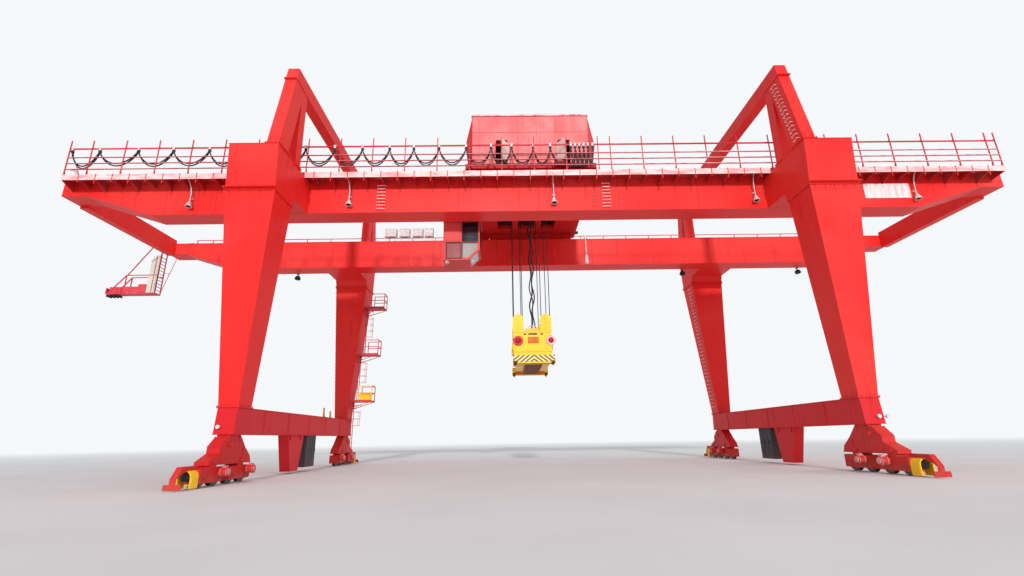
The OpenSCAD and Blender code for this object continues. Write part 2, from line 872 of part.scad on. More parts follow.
// End beams of the spreader, each with a recess below between its corner blocks
module spreader_ends() {
    w = spreader_w / 2;
    y = -spreader_len / 2;
    corner = 170;
    color(yellow) translate([trolley_x, 0, 0]) both_girders() difference() {
        block([-w, y, spreader_z], [w, y + 300, head_low + 10]);
        block([-w + corner, y + 40, spreader_z - 10], [w - corner, y + 260, spreader_z + 120]);
    }
}

front_girder();
rear_girder();
end_ties();
front_left_leg();
front_right_leg();
rear_left_leg();
rear_right_leg();
front_left_head();
front_right_head();
rear_left_head();
rear_right_head();
left_sill();
right_sill();
left_saddle();
right_saddle();
left_equalisers();
right_equalisers();
left_bogies();
right_bogies();
wheel(-1, -1, 1);  // wheel_lf1
wheel(-1, -1, 2);  // wheel_lf2
wheel(-1, -1, 3);  // wheel_lf3
wheel(-1, -1, 4);  // wheel_lf4
wheel(-1, 1, 1);  // wheel_lr1
wheel(-1, 1, 2);  // wheel_lr2
wheel(-1, 1, 3);  // wheel_lr3
wheel(-1, 1, 4);  // wheel_lr4
wheel(1, -1, 1);  // wheel_rf1
wheel(1, -1, 2);  // wheel_rf2
wheel(1, -1, 3);  // wheel_rf3
wheel(1, -1, 4);  // wheel_rf4
wheel(1, 1, 1);  // wheel_rr1
wheel(1, 1, 2);  // wheel_rr2
wheel(1, 1, 3);  // wheel_rr3
wheel(1, 1, 4);  // wheel_rr4
buffers();
trolley_rails();
front_walkway();
rear_walkway();
front_railing();
rear_railing();
festoon_track();
festoon_cable();
parking_anchors();
sill_cabinets();
leg_platforms();
leg_ladders();
hanging_platform();
trolley_frame();
trolley_wheels();
house_walls();
house_roof();
house_doors();
cab_shell();
cab_glass();
hoist_ropes();
headblock();
spreader_beam();
spreader_ends();
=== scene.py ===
from math import cos, pi, radians, sin, sqrt

import bpy
from mathutils import Matrix, Vector


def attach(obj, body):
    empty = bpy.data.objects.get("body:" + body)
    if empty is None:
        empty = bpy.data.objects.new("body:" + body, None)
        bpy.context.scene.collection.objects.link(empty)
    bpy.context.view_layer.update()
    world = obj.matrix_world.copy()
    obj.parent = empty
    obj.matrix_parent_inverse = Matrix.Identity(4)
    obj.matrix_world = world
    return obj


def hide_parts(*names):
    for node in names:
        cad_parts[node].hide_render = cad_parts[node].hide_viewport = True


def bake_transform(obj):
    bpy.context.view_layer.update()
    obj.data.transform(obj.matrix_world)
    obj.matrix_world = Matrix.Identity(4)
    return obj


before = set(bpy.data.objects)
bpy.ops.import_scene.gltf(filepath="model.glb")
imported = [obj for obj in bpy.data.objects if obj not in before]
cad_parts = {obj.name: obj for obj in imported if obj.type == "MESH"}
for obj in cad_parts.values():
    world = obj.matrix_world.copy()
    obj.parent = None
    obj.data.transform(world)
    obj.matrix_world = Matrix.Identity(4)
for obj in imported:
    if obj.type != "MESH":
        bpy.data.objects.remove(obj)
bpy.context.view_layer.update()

# The camera stands on the yard in front of the crane, low and turned up a little, as the photo
# was taken. A sun behind the camera lights the fronts and a broad pale one fills from the right.
EYE = (-1.0239, -16.3385, 0.8915)
PAN, TILT, ROLL = radians(-0.76), radians(90 + 16.719), radians(-0.957)
camera = bpy.data.objects.new("camera", bpy.data.cameras.new("camera"))
bpy.context.scene.collection.objects.link(camera)
camera.data.lens = 17.555
camera.data.sensor_width = 36
camera.data.clip_end = 500
camera.matrix_world = (
    Matrix.Translation(EYE) @ Matrix.Rotation(PAN, 4, "Z") @ Matrix.Rotation(TILT, 4, "X")
    @ Matrix.Rotation(ROLL, 4, "Z")
)
bpy.context.scene.camera = camera
bpy.context.scene.view_settings.view_transform = "Standard"


def sunlight(name, travel, strength, spread):
    """A sun whose light travels along the given direction."""
    sun = bpy.data.objects.new(name, bpy.data.lights.new(name, "SUN"))
    sun.data.energy = strength
    sun.data.angle = radians(spread)
    sun.rotation_euler = Vector(travel).to_track_quat("-Z", "Y").to_euler()
    bpy.context.scene.collection.objects.link(sun)


sunlight("key_sun", (0.0, 1, -0.31), 2.0, 3)
sunlight("side_fill", (-1, 0.35, -0.35), 0.75, 50)


class Wire:
    """A number in a material's nodes: Python's signs on it add the nodes that work it out."""

    def __init__(self, finish, socket):
        self.finish = finish
        self.socket = socket

    def math(self, operation, *values):
        inputs = dict(enumerate(values))
        return self.finish.node("ShaderNodeMath", {"operation": operation}, inputs)

    def __add__(self, other):
        return self.math("ADD", self, other)

    def __sub__(self, other):
        return self.math("SUBTRACT", self, other)

    def __rsub__(self, other):
        return self.math("SUBTRACT", other, self)

    def __mul__(self, other):
        return self.math("MULTIPLY", self, other)

    def __truediv__(self, other):
        return self.math("DIVIDE", self, other)

    def __abs__(self):
        return self.math("ABSOLUTE", self)

    def fraction(self):
        return self.math("FRACT", self)

    __radd__ = __add__
    __rmul__ = __mul__


class Finish:
    """A material being mixed, with its nodes, its shader and the place of each point on the piece."""

    def __init__(self, name, tree=None):
        if tree is None:
            self.material = bpy.data.materials.new(name)
            self.material.use_nodes = True
            tree = self.material.node_tree
            self.shader = tree.nodes["Principled BSDF"]
        self.tree = tree
        self.spot = self.node("ShaderNodeTexCoord", {}, {}, "Object")

    def feed(self, socket, value):
        if isinstance(value, Wire):
            self.tree.links.new(value.socket, socket)
        elif socket.type == "RGBA":
            socket.default_value = (*value, 1)
        else:
            socket.default_value = value

    def node(self, kind, settings, inputs, output=0):
        made = self.tree.nodes.new(kind)
        for key, value in settings.items():
            setattr(made, key, value)
        for key, value in inputs.items():
            self.feed(made.inputs[key], value)
        return Wire(self, made.outputs[output])

    def along(self, axis):
        return self.node("ShaderNodeSeparateXYZ", {}, {0: self.spot}, axis)

    def facing(self, axis):
        way = self.node("ShaderNodeTexCoord", {}, {}, "Normal")
        return self.node("ShaderNodeSeparateXYZ", {}, {0: way}, axis)

    def stretched(self, scale):
        return self.node("ShaderNodeVectorMath", {"operation": "MULTIPLY"}, {0: self.spot, 1: scale})

    def noise(self, size, detail=3.0, spot=None, rough=0.5):
        return self.node("ShaderNodeTexNoise", {}, {
            "Vector": spot or self.spot, "Scale": 1 / size, "Detail": detail, "Roughness": rough})

    def step(self, value, low, high, out_low=0.0, out_high=1.0):
        return self.node("ShaderNodeMapRange", {"interpolation_type": "SMOOTHSTEP"}, {
            "Value": value, "From Min": low, "From Max": high, "To Min": out_low, "To Max": out_high})

    def mix(self, amount, first, second):
        return self.node("ShaderNodeMix", {"data_type": "RGBA"}, {0: amount, 6: first, 7: second}, 2)

    def bump(self, height, depth, strength=1.0):
        return self.node("ShaderNodeBump", {}, {
            "Strength": strength, "Distance": depth, "Height": height}, "Normal")

    def done(self, colour, roughness, normal=None, **constants):
        self.feed(self.shader.inputs["Base Color"], colour)
        self.feed(self.shader.inputs["Roughness"], roughness)
        if normal:
            self.feed(self.shader.inputs["Normal"], normal)
        for key, value in constants.items():
            self.feed(self.shader.inputs[key.replace("_", " ")], value)
        return self.material


def colour(red, green, blue):
    """A colour as a picture shows it, 0 to 255, turned into the light it stands for."""
    return tuple(c / 255 / 12.92 if c < 10 else ((c / 255 + 0.055) / 1.055) ** 2.4
                 for c in (red, green, blue))


# The floor and the air behind it are plain and pale. The world gives the object an even light,
# while the camera sees it white, also through glass.
PALE_AIR = (0.92, 0.94, 0.96)
world = bpy.data.worlds.new("studio")
world.use_nodes = True
bpy.context.scene.world = world
air = Finish("air", world.node_tree)
sight = [air.node("ShaderNodeLightPath", {}, {}, ray) for ray in ("Is Camera Ray", "Is Transmission Ray")]
seen = sight[0].math("MAXIMUM", *sight)
background = world.node_tree.nodes["Background"]
air.feed(background.inputs["Color"], air.mix(seen, (0.56, 0.57, 0.59), PALE_AIR))
background.inputs["Strength"].default_value = 1

bpy.ops.object.select_all(action="DESELECT")
bpy.ops.mesh.primitive_circle_add(vertices=64, radius=220, fill_type="NGON", location=(0, 0, -0.004))
floor = bpy.context.object
floor.name = "floor"
bpy.ops.object.transform_apply(location=True, rotation=True, scale=True)
ground = Finish("pale_floor")
far_off = ground.node("ShaderNodeVectorMath", {"operation": "LENGTH"}, {0: ground.spot}, "Value")
pale_grey = ground.mix(ground.step(ground.noise(3.0), 0.3, 0.7), (0.74, 0.74, 0.74), (0.78, 0.78, 0.78))
ground.done(pale_grey, 0.95, Specular_IOR_Level=0.1)
glow = ground.node("ShaderNodeEmission", {}, {"Color": PALE_AIR, "Strength": 1.0})
blended = ground.node("ShaderNodeMixShader", {}, {
    0: ground.step(far_off, 22.0, 90.0), 1: Wire(ground, ground.shader.outputs[0]), 2: glow})
ground.feed(ground.tree.nodes["Material Output"].inputs["Surface"], blended)
floor.data.materials.append(ground.material)


# The two box girders are welded from steel plate and carry everything that rolls above. Their red
# gloss paint has chalked a little, with rain streaks and faint weld seams between the plates.
def painted(name, base, pale, dark, gloss=0.38, streaks=0.5, pitch=0.0, dust=0.0):
    """Gloss paint on steel: slow fading, rain streaks, specks, seams at a pitch and dust near the floor."""
    paint = Finish(name)
    slow = paint.noise(2.6, 4.0)
    body = paint.mix(paint.step(slow, 0.35, 0.75), base, pale)
    run = paint.noise(1.0, 5.0, paint.stretched((9.0, 9.0, 0.55)))
    upright = 1 - abs(paint.facing("Z"))
    streak = paint.step(run, 0.56, 0.80) * upright * streaks
    body = paint.mix(streak, body, dark)
    speck = paint.step(paint.noise(0.012, 2.0), 0.72, 0.78)
    body = paint.mix(speck * 0.55, body, dark)
    height = paint.noise(0.009, 2.0) * 0.15
    if pitch:
        gap = abs((paint.along("X") / pitch).fraction() - 0.5)
        seam = paint.step(gap, 0.4925, 0.498) * upright
        body = paint.mix(seam * 0.45, body, dark)
        height = height + seam * 1.3 + paint.step(paint.noise(0.5, 1.0), 0.2, 0.8) * 0.8
    if dust:
        cloudy = paint.step(paint.noise(0.12, 5.0), 0.35, 0.65, 0.2, 1.0)
        low = paint.step(paint.along("Z"), dust, 0.0) * cloudy
        body = paint.mix(low * 0.4, body, colour(150, 104, 84))
    rough = gloss + paint.step(slow, 0.3, 0.7) * 0.14 + streak * 0.25 + speck * 0.3
    return paint.done(body, rough, paint.bump(height, 0.0016, 0.6), Coat_Weight=0.05, Coat_Roughness=0.25,
                      Specular_IOR_Level=0.14)


def deselect():
    bpy.ops.object.select_all(action="DESELECT")


def coat(finish, *names):
    """Gives CAD nodes their finish in the slots they came with."""
    for name in names:
        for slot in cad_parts[name].material_slots:
            slot.material = finish


def bar(low, high, edge=0.002):
    """A sawn bar or plate between two corners, with its edges broken."""
    deselect()
    middle = [(a + b) / 2 for a, b in zip(low, high)]
    bpy.ops.mesh.primitive_cube_add(size=1, location=middle)
    piece = bpy.context.object
    piece.scale = [abs(b - a) for a, b in zip(low, high)]
    bpy.ops.object.transform_apply(location=True, rotation=True, scale=True)
    if edge:
        bpy.ops.object.mode_set(mode="EDIT")
        bpy.ops.mesh.select_all(action="SELECT")
        bpy.ops.mesh.bevel(offset=edge, segments=1, affect="EDGES")
        bpy.ops.object.mode_set(mode="OBJECT")
    return piece


def turned(sections, sides=20, towards=(0, 0, 1), foot=(0, 0, 0)):
    """A turned piece drawn up from its foot: one (height, radius) pair after another."""
    deselect()
    height, radius = sections[0]
    bpy.ops.mesh.primitive_circle_add(vertices=sides, radius=radius, fill_type="NGON")
    piece = bpy.context.object
    bpy.ops.object.mode_set(mode="EDIT")
    bpy.ops.mesh.select_all(action="SELECT")
    for next_height, next_radius in sections[1:]:
        bpy.ops.mesh.extrude_region_move(TRANSFORM_OT_translate={"value": (0, 0, next_height - height)})
        if next_radius != radius:
            share = next_radius / radius
            bpy.ops.transform.resize(value=(share, share, 1))
        height, radius = next_height, next_radius
    bpy.ops.mesh.select_all(action="SELECT")
    bpy.ops.mesh.normals_make_consistent(inside=False)
    bpy.ops.object.mode_set(mode="OBJECT")
    turn = Vector(towards).to_track_quat("Z", "Y").to_matrix().to_4x4()
    piece.data.transform(Matrix.Translation(foot) @ turn @ Matrix.Translation((0, 0, sections[0][0])))
    return piece


def rod(start, end, width, sides=10):
    """A round bar from one point to another."""
    way = Vector(end) - Vector(start)
    return turned([(0, width / 2), (way.length, width / 2)], sides, way, start)


def cutout(outline, low, high, axis):
    """A plate cut to an outline, reaching from low to high along an axis."""
    deselect()
    bpy.ops.mesh.primitive_circle_add(vertices=len(outline), fill_type="NGON")
    piece = bpy.context.object
    for vertex, (a, b) in zip(piece.data.vertices, outline):
        vertex.co = {"x": (low, a, b), "y": (a, low, b), "z": (a, b, low)}[axis]
    bpy.ops.object.mode_set(mode="EDIT")
    bpy.ops.mesh.select_all(action="SELECT")
    move = tuple((high - low) * (axis == name) for name in "xyz")
    bpy.ops.mesh.extrude_region_move(TRANSFORM_OT_translate={"value": move})
    bpy.ops.mesh.select_all(action="SELECT")
    bpy.ops.mesh.normals_make_consistent(inside=False)
    bpy.ops.object.mode_set(mode="OBJECT")
    return piece


def repeated(piece, shifts):
    """The piece and a copy of it, with a mesh of its own, at each shift."""
    copies = [piece]
    for shift in shifts:
        copy = piece.copy()
        copy.data = piece.data.copy()
        copy.data.transform(Matrix.Translation(shift))
        bpy.context.collection.objects.link(copy)
        copies.append(copy)
    return copies


def mirrored(pieces, axis):
    """The pieces and their mirror images across the crane's middle."""
    way = Vector([float(axis == name) for name in "xyz"])
    copies = []
    for piece in pieces:
        copy = piece.copy()
        copy.data = piece.data.copy()
        copy.data.transform(Matrix.Scale(-1, 4, way))
        copy.data.flip_normals()
        bpy.context.collection.objects.link(copy)
        copies.append(copy)
    return [*pieces, *copies]


def at_corners(pieces):
    """The pieces of one corner and their mirror images at the crane's other three."""
    return mirrored(mirrored(pieces, "x"), "y")


def settle(name, finish, body, parts, angle=35):
    """Welds the parts to one named piece, paints it and lets it ride on its body."""
    deselect()
    for part in parts:
        part.select_set(True)
    bpy.context.view_layer.objects.active = parts[0]
    if len(parts) > 1:
        bpy.ops.object.join()
    piece = bpy.context.object
    bpy.ops.object.transform_apply(location=True, rotation=True, scale=True)
    bpy.ops.object.shade_smooth_by_angle(angle=radians(angle))
    piece.name = name
    piece.data.name = name
    piece.data.materials.clear()
    piece.data.materials.append(finish)
    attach(piece, body)
    return piece


RED = colour(238, 42, 40)
PALE_RED = colour(242, 64, 58)
DARK_RED = colour(160, 16, 20)
girder_red = painted("girder_red", RED, PALE_RED, DARK_RED, pitch=2.4)
coat(girder_red, "front_girder", "rear_girder", "end_ties")

KNEE, NOSE, TIP = 11.442, 13.483, 14.2
GIRDER_LOW, NOSE_LOW, GIRDER_TOP = 7.344, 7.990, 8.430
GIRDER_IN, GIRDER_OUT = 2.103, 2.783
LIP_OUT, LIP_HIGH = 0.016, 0.022
under = [(-TIP, NOSE_LOW), (-NOSE, NOSE_LOW), (-KNEE, GIRDER_LOW), (KNEE, GIRDER_LOW),
         (NOSE, NOSE_LOW), (TIP, NOSE_LOW)]
flange = under + [(x, z + LIP_HIGH) for x, z in reversed(under)]
lips = [
    cutout(flange, GIRDER_OUT, GIRDER_OUT + LIP_OUT, "y"),
    cutout(flange, GIRDER_IN - LIP_OUT, GIRDER_IN, "y"),
    bar((-TIP, GIRDER_IN - LIP_OUT, GIRDER_TOP - LIP_HIGH), (TIP, GIRDER_IN, GIRDER_TOP)),
    bar((-TIP, GIRDER_OUT, 8.155), (TIP, GIRDER_OUT + 0.012, 8.167)),
]
settle("girder_flange_lips", girder_red, "portal", mirrored(lips, "y"))

RAIL_Y, RAIL_TOP, STOP_X = 2.443, 8.49, 13.50
wedge = [(STOP_X, RAIL_TOP), (13.82, RAIL_TOP), (13.82, 8.51), (13.66, 8.57), (STOP_X, 8.57)]
stops = [
    cutout(wedge, RAIL_Y - 0.03, RAIL_Y + 0.03, "y"),
    bar((STOP_X - 0.02, RAIL_Y - 0.05, 8.52), (STOP_X, RAIL_Y + 0.05, 8.58)),
    bar((STOP_X - 0.01, RAIL_Y - 0.10, RAIL_TOP), (13.87, RAIL_Y + 0.10, 8.51)),
]
settle("trolley_end_stops", girder_red, "portal", at_corners(stops))

# Four legs of welded plate widen upwards from the sills to the head boxes. Each joint is a pair of
# flanges drawn together by a row of hexagon bolts, and the head boxes hold the girders' ends.
leg_red = painted("leg_red", RED, PALE_RED, DARK_RED, streaks=0.35)
head_red = painted("head_red", RED, PALE_RED, DARK_RED, streaks=0.4)
corner_names = [f"{face}_{side}" for face in ("front", "rear") for side in ("left", "right")]
coat(leg_red, *[f"{corner}_leg" for corner in corner_names])
coat(head_red, *[f"{corner}_head" for corner in corner_names], "left_saddle", "right_saddle")

RAIL_X = 7.5
FOOT = (RAIL_X - 0.234, 3.764, RAIL_X + 0.234, 4.393)
CROWN = (RAIL_X - 0.635, 3.811, RAIL_X + 0.635, 4.830)
SADDLE_FOOT = (6.865, 4.396, 7.185, 4.960)


def at_each(parts, places):
    """Copies of the parts at every place, with the patterns themselves taken away."""
    made = []
    for part in parts:
        made += repeated(part, places)[1:]
        bpy.data.objects.remove(part)
    return made


def bolt_head(radius, height, towards, foot):
    """A hexagon bolt head that stands on its foot."""
    return turned([(0, radius), (height, radius)], 6, towards, foot)


def bolts(edge, low, high, out, pitch):
    """Hexagon bolts through a flange, at a pitch around a rectangle and a little outside it."""
    x0, y0, x1, y1 = edge[0] - out, edge[1] - out, edge[2] + out, edge[3] + out
    turns = [(x0, y0), (x1, y0), (x1, y1), (x0, y1), (x0, y0)]
    spots = []
    for (xa, ya), (xb, yb) in zip(turns, turns[1:]):
        count = max(2, round(max(abs(xb - xa), abs(yb - ya)) / pitch))
        spots += [(xa + (xb - xa) * i / count, ya + (yb - ya) * i / count, 0) for i in range(count)]
    head, wide, thin = 0.012, 0.011, 0.022 / 3.4
    bolt = turned([(low, wide), (low + head, wide), (low + head, thin),
                   (high - head, thin), (high - head, wide), (high, wide)], 6)
    return at_each([bolt], spots)


def mottled(name, clean, soiled, size, detail, stops, rough, bump, **constants):
    """A finish of two shades that share the surface in patches, which also roughen it."""
    finish = Finish(name)
    patches = finish.noise(size, detail)
    shade = finish.mix(finish.step(patches, *stops), clean, soiled)
    if isinstance(rough, tuple):
        rough = finish.step(patches, 0.3, 0.7, *rough)
    return finish.done(shade, rough, finish.bump(patches, *bump), **constants)


bolt_steel = mottled("plated_bolts", colour(150, 60, 52), colour(186, 54, 48), 0.03, 4.0, (0.4, 0.7),
                     (0.35, 0.6), (0.001, 0.4), Metallic=0.3)
leg_bolts = [
    *bolts(FOOT, 1.660, 1.731, 0.016, 0.10), *bolts(CROWN, 7.016, 7.116, 0.0135, 0.105),
    *bolts(SADDLE_FOOT, 8.330, 8.372, 0.020, 0.10),
]
settle("flange_bolts", bolt_steel, "portal", at_corners(leg_bolts), 20)

HEAD_TOP = 8.330
saddle_plates = [
    bar((6.825, 4.300, HEAD_TOP), (7.225, 4.985, 8.352)),
    bar((6.825, 3.540, HEAD_TOP), (7.225, 3.965, 8.352)),
    bar((6.845, 3.61, 10.726), (7.205, 4.52, 10.740)),
    *[cutout([(4.985, 8.352), (4.965, 8.352), (4.925, 8.55), (4.945, 8.352)], x, x + 0.016, "x")
      for x in (6.93, 7.10)],
]
settle("saddle_base_plates", head_red, "portal", at_corners(saddle_plates))

head_ribs = [
    bar((RAIL_X - 0.660, 3.786, 7.090), (RAIL_X + 0.660, 4.960, 7.106)),
    bar((RAIL_X - 0.645, 3.800, 8.312), (RAIL_X + 0.645, 4.968, 8.332)),
    *[cutout([(4.830, 7.024), (4.852, 7.024), (4.852, 7.010), (4.800, 6.78)], x, x + 0.014, "x")
      for x in (RAIL_X - 0.5, RAIL_X - 0.25, RAIL_X, RAIL_X + 0.25, RAIL_X + 0.5)],
]
settle("head_box_edges", head_red, "portal", at_corners(head_ribs))

# Round-bar rungs welded to the steel make ladders where no cage is needed: on the front web, up the
# left faces of the rear legs and behind the posts of the saddles. They are painted pale to be seen.
pale_rungs = mottled("pale_rung_paint", colour(240, 222, 218), colour(206, 150, 146), 0.05, 3.0,
                     (0.4, 0.75), 0.5, (0.0008, 0.5))


def rung(start, end, stand, width=0.022):
    """A rung bent from one bar: a straight tread on two legs that reach back to the plate."""
    a, b, back = Vector(start), Vector(end), Vector(stand)
    return [rod(a, b, width, 8), rod(a + back, a, width, 8), rod(b + back, b, width, 8)]


rungs = []
for x in (-4.70, 2.025):
    for part in rung((x - 0.115, -2.86, 7.45), (x + 0.115, -2.86, 7.45), (0, 0.077, 0)):
        rungs += repeated(part, [(0, 0, 0.107 * i) for i in range(1, 8)])
settle("web_rungs", pale_rungs, "portal", rungs)


def leg_side(z):
    """How far a leg's side face stands from the rail's line at a height."""
    return 0.234 + 0.401 * (z - 1.707) / 5.335


climb = []
for side in (-1, 1):
    for i in range(34):
        z = 1.95 + 0.148 * i
        face = side * RAIL_X - leg_side(z)
        climb += rung((face - 0.07, 3.96, z), (face - 0.07, 4.20, z), (0.072, 0, 0), 0.020)
for face in (-7.185, 6.865):
    for i in range(15):
        z = 8.45 + 0.15 * i
        y = -4.811 + 0.584 * (z - 8.38) / 2.33
        climb += rung((face - 0.06, y, z), (face - 0.06, y + 0.20, z), (0.062, 0, 0), 0.018)
settle("leg_and_saddle_rungs", pale_rungs, "portal", climb)

# The sill beams tie the feet along each track. They carry corner lamps, two yellow posts for the
# cable reel, the parking anchors' hinge lugs and the switch cabinets below.
sill_red = painted("sill_red", colour(214, 32, 40), colour(220, 48, 54), colour(130, 12, 20), streaks=0.4)
coat(sill_red, "left_sill", "right_sill", "parking_anchors")
SILL_LOW, SILL_TOP = 1.070, 1.683
sill_parts = [bar((RAIL_X - 0.25, -4.40, 1.667), (RAIL_X + 0.25, 4.40, SILL_TOP)),
              bar((RAIL_X - 0.25, -4.46, SILL_LOW), (RAIL_X + 0.25, 4.46, 1.086))]
for y in (-3.0, -1.5, 0.0, 1.5, 3.0):
    for x in (RAIL_X - 0.245, RAIL_X + 0.234):
        sill_parts.append(bar((x, y - 0.006, 1.086), (x + 0.011, y + 0.006, 1.667)))
for y in (-1.05, -0.30):
    lug = [(y - 0.10, SILL_LOW), (y + 0.10, SILL_LOW), (y + 0.05, 0.93), (y - 0.05, 0.93)]
    for x in (RAIL_X - 0.175, RAIL_X + 0.150):
        sill_parts.append(cutout(lug, x, x + 0.025, "x"))
settle("sill_edges_and_lugs", sill_red, "portal", mirrored(sill_parts, "x"))

yellow_coat = painted(
    "yellow_gloss", colour(250, 196, 24), colour(250, 206, 60), colour(168, 118, 22), streaks=0.5)
posts = []
for y, top in ((1.95, 2.03), (2.62, 1.94)):
    posts += [bar((-7.56, y, SILL_TOP), (-7.51, y + 0.05, top)),
              bar((-7.60, y - 0.04, SILL_TOP), (-7.47, y + 0.09, 1.699)),
              cutout([(y + 0.05, 1.699), (y + 0.20, 1.699), (y + 0.05, 1.90)], -7.540, -7.530, "x")]
settle("yellow_cable_posts", yellow_coat, "portal", posts)

lens = Finish("lamp_lens")
lens_shade = lens.mix(lens.step(lens.noise(0.02), 0.3, 0.7), colour(238, 240, 236), colour(206, 212, 214))
clear_lens = lens.done(lens_shade, 0.15, lens.bump(lens.noise(0.006), 0.001, 0.3), Coat_Weight=0.6)
LAMP = [(0, 0.022), (0.03, 0.026), (0.04, 0.042), (0.08, 0.048),
        (0.092, 0.042), (0.092, 0.034), (0.084, 0.03)]
corner_lamps = [turned(LAMP, 18, (0, -1, -0.1), (x, -4.42, z))
                for x, z in ((-7.62, 1.25), (7.59, 1.25), (7.79, 1.24))]
corner_lamps.append(bar((7.72, -4.40, 1.228), (7.80, -4.38, 1.252), 0.002))
settle("sill_corner_lamps", clear_lens, "portal", corner_lamps)

cabinet = painted(
    "cabinet_grey", colour(66, 62, 66), colour(88, 84, 88), colour(40, 36, 38), gloss=0.5, dust=0.5)
coat(cabinet, "sill_cabinets")
doors = []
for side in (-0.188, 0.180):
    x, lock_x = RAIL_X + side, RAIL_X + side * 1.09
    for y in (0.07, 0.33, 0.59):
        doors += [bar((x, y, 0.20), (x + 0.008, y + 0.24, 1.02), 0.003),
                  bar((lock_x, y + 0.19, 0.58), (lock_x + 0.02, y + 0.21, 0.68)),
                  *[rod((x + 0.004, y, z - 0.03), (x + 0.004, y, z + 0.03), 0.016, 8) for z in (0.30, 0.90)]]
for z in [0.86 + 0.025 * k for k in range(6)]:
    louvre = [(0.842, z), (0.856, z - 0.008), (0.856, z - 0.002), (0.85, z + 0.008)]
    doors.append(cutout(louvre, RAIL_X - 0.12, RAIL_X + 0.12, "x"))
settle("cabinet_doors", cabinet, "portal", mirrored(doors, "x"))

# Stepped equalisers share each corner's load between two bogies through thick pins. The bogies have
# bearing housings bolted over the axle ends, and squirrel-cage motors with fins drive some wheels.
bogie_red = painted(
    "bogie_red", colour(206, 34, 36), colour(214, 62, 56), colour(110, 14, 16), streaks=0.3, dust=0.45)
coat(bogie_red, "left_equalisers", "right_equalisers", "left_bogies", "right_bogies")
CORNER_Y, PLATE_OUT, PIN_Z, AXLE_Z = 4.35, 0.148, 0.505, 0.17
PIN_CAP = [(0, 0.060), (0.014, 0.060), (0.014, 0.044), (0.022, 0.042), (0.026, 0.03)]
BIG_CAP = [(0, 0.085), (0.016, 0.085), (0.016, 0.060), (0.030, 0.056), (0.034, 0.04)]
BEARING = [(0, 0.088), (0.010, 0.088), (0.010, 0.062), (0.013, 0.062)]


def bolt_ring(side, x, y, z, reach, count, first, radius, height):
    """Bolt heads in a ring around a pin or a bearing, from a share of their pitch on."""
    angles = [2 * pi * (k + first) / count for k in range(count)]
    return [bolt_head(radius, height, (side, 0, 0), (x, y + reach * cos(a), z + reach * sin(a)))
            for a in angles]


pins = []
for side in (-1, 1):
    face, out = RAIL_X + side * PLATE_OUT, (side, 0, 0)
    for y in (CORNER_Y - 0.575, CORNER_Y + 0.575):
        pins.append(turned(PIN_CAP, 24, out, (face, y, PIN_Z)))
        pins += bolt_ring(side, RAIL_X + side * 0.160, y, PIN_Z, 0.052, 6, 0, 0.007, 0.008)
    pins.append(turned(BIG_CAP, 28, out, (face, CORNER_Y, 0.86)))
    for y in (CORNER_Y - 0.855, CORNER_Y - 0.295, CORNER_Y + 0.295, CORNER_Y + 0.855):
        pins.append(turned(BEARING, 24, out, (face, y, AXLE_Z)))
        pins += bolt_ring(side, RAIL_X + side * 0.158, y, AXLE_Z, 0.075, 4, 0.5, 0.008, 0.009)
for y in (CORNER_Y - 1.02, CORNER_Y - 0.13, CORNER_Y + 0.13, CORNER_Y + 1.02):
    for x in (RAIL_X - 0.162, RAIL_X + 0.150):
        pins.append(bar((x, y - 0.008, 0.10), (x + 0.012, y + 0.008, 0.37)))
for x in (RAIL_X - 0.160, RAIL_X + PLATE_OUT):
    for dy, z, high in ((-0.36, 0.92, 0.14), (-0.05, 0.93, 0.13), (-0.62, 0.50, 0.28), (0.30, 0.50, 0.34)):
        pins.append(bar((x, CORNER_Y + dy - 0.006, z), (x + 0.012, CORNER_Y + dy + 0.006, z + high)))
    pins.append(bar((x, CORNER_Y - 1.03, 0.431), (x + 0.012, CORNER_Y + 0.77, 0.447)))
for dy, z in ((0.135, 1.006), (0.378, 0.808), (0.388, 0.656), (0.768, 0.496), (0.773, 0.431)):
    y = CORNER_Y + dy
    pins.append(bar((RAIL_X - 0.158, y - 0.02, z), (RAIL_X + 0.158, y + 0.014, z + 0.016), 0.003))
settle("bogie_pins_and_ribs", bogie_red, "portal", at_corners(pins))

motor_pink = painted(
    "motor_pink", colour(206, 120, 122), colour(228, 172, 172), colour(120, 60, 62), gloss=0.45)
MOTOR_CASE = [(0, 0.098), (0.012, 0.098), (0.014, 0.090), (0.126, 0.090), (0.128, 0.098),
              (0.140, 0.098), (0.142, 0.070), (0.168, 0.066), (0.172, 0.05)]
fins = []
for side, spots in ((-1, (3.495, 4.645)), (1, (4.055, 4.785))):
    for y in [face * spot for spot in spots for face in (-1, 1)]:
        centre = Vector((side * (RAIL_X - 0.200), y, 0.285))
        fins.append(turned(MOTOR_CASE, 24, (-side, 0, 0), centre))
        for k in range(20):
            a = 2 * pi * k / 20
            low = centre + Vector((-side * 0.014, 0.090 * cos(a), 0.090 * sin(a)))
            fins.append(rod(low, low + Vector((-side * 0.112, 0, 0)), 0.012, 4))
        fins += [bar((centre.x - side * 0.03, y - 0.05, 0.37), (centre.x - side * 0.11, y + 0.05, 0.415)),
                 rod((centre.x - side * 0.07, y, 0.40), (side * (RAIL_X - 0.16), y + 0.10, 0.42), 0.014, 8)]
settle("drive_motors", motor_pink, "portal", fins)

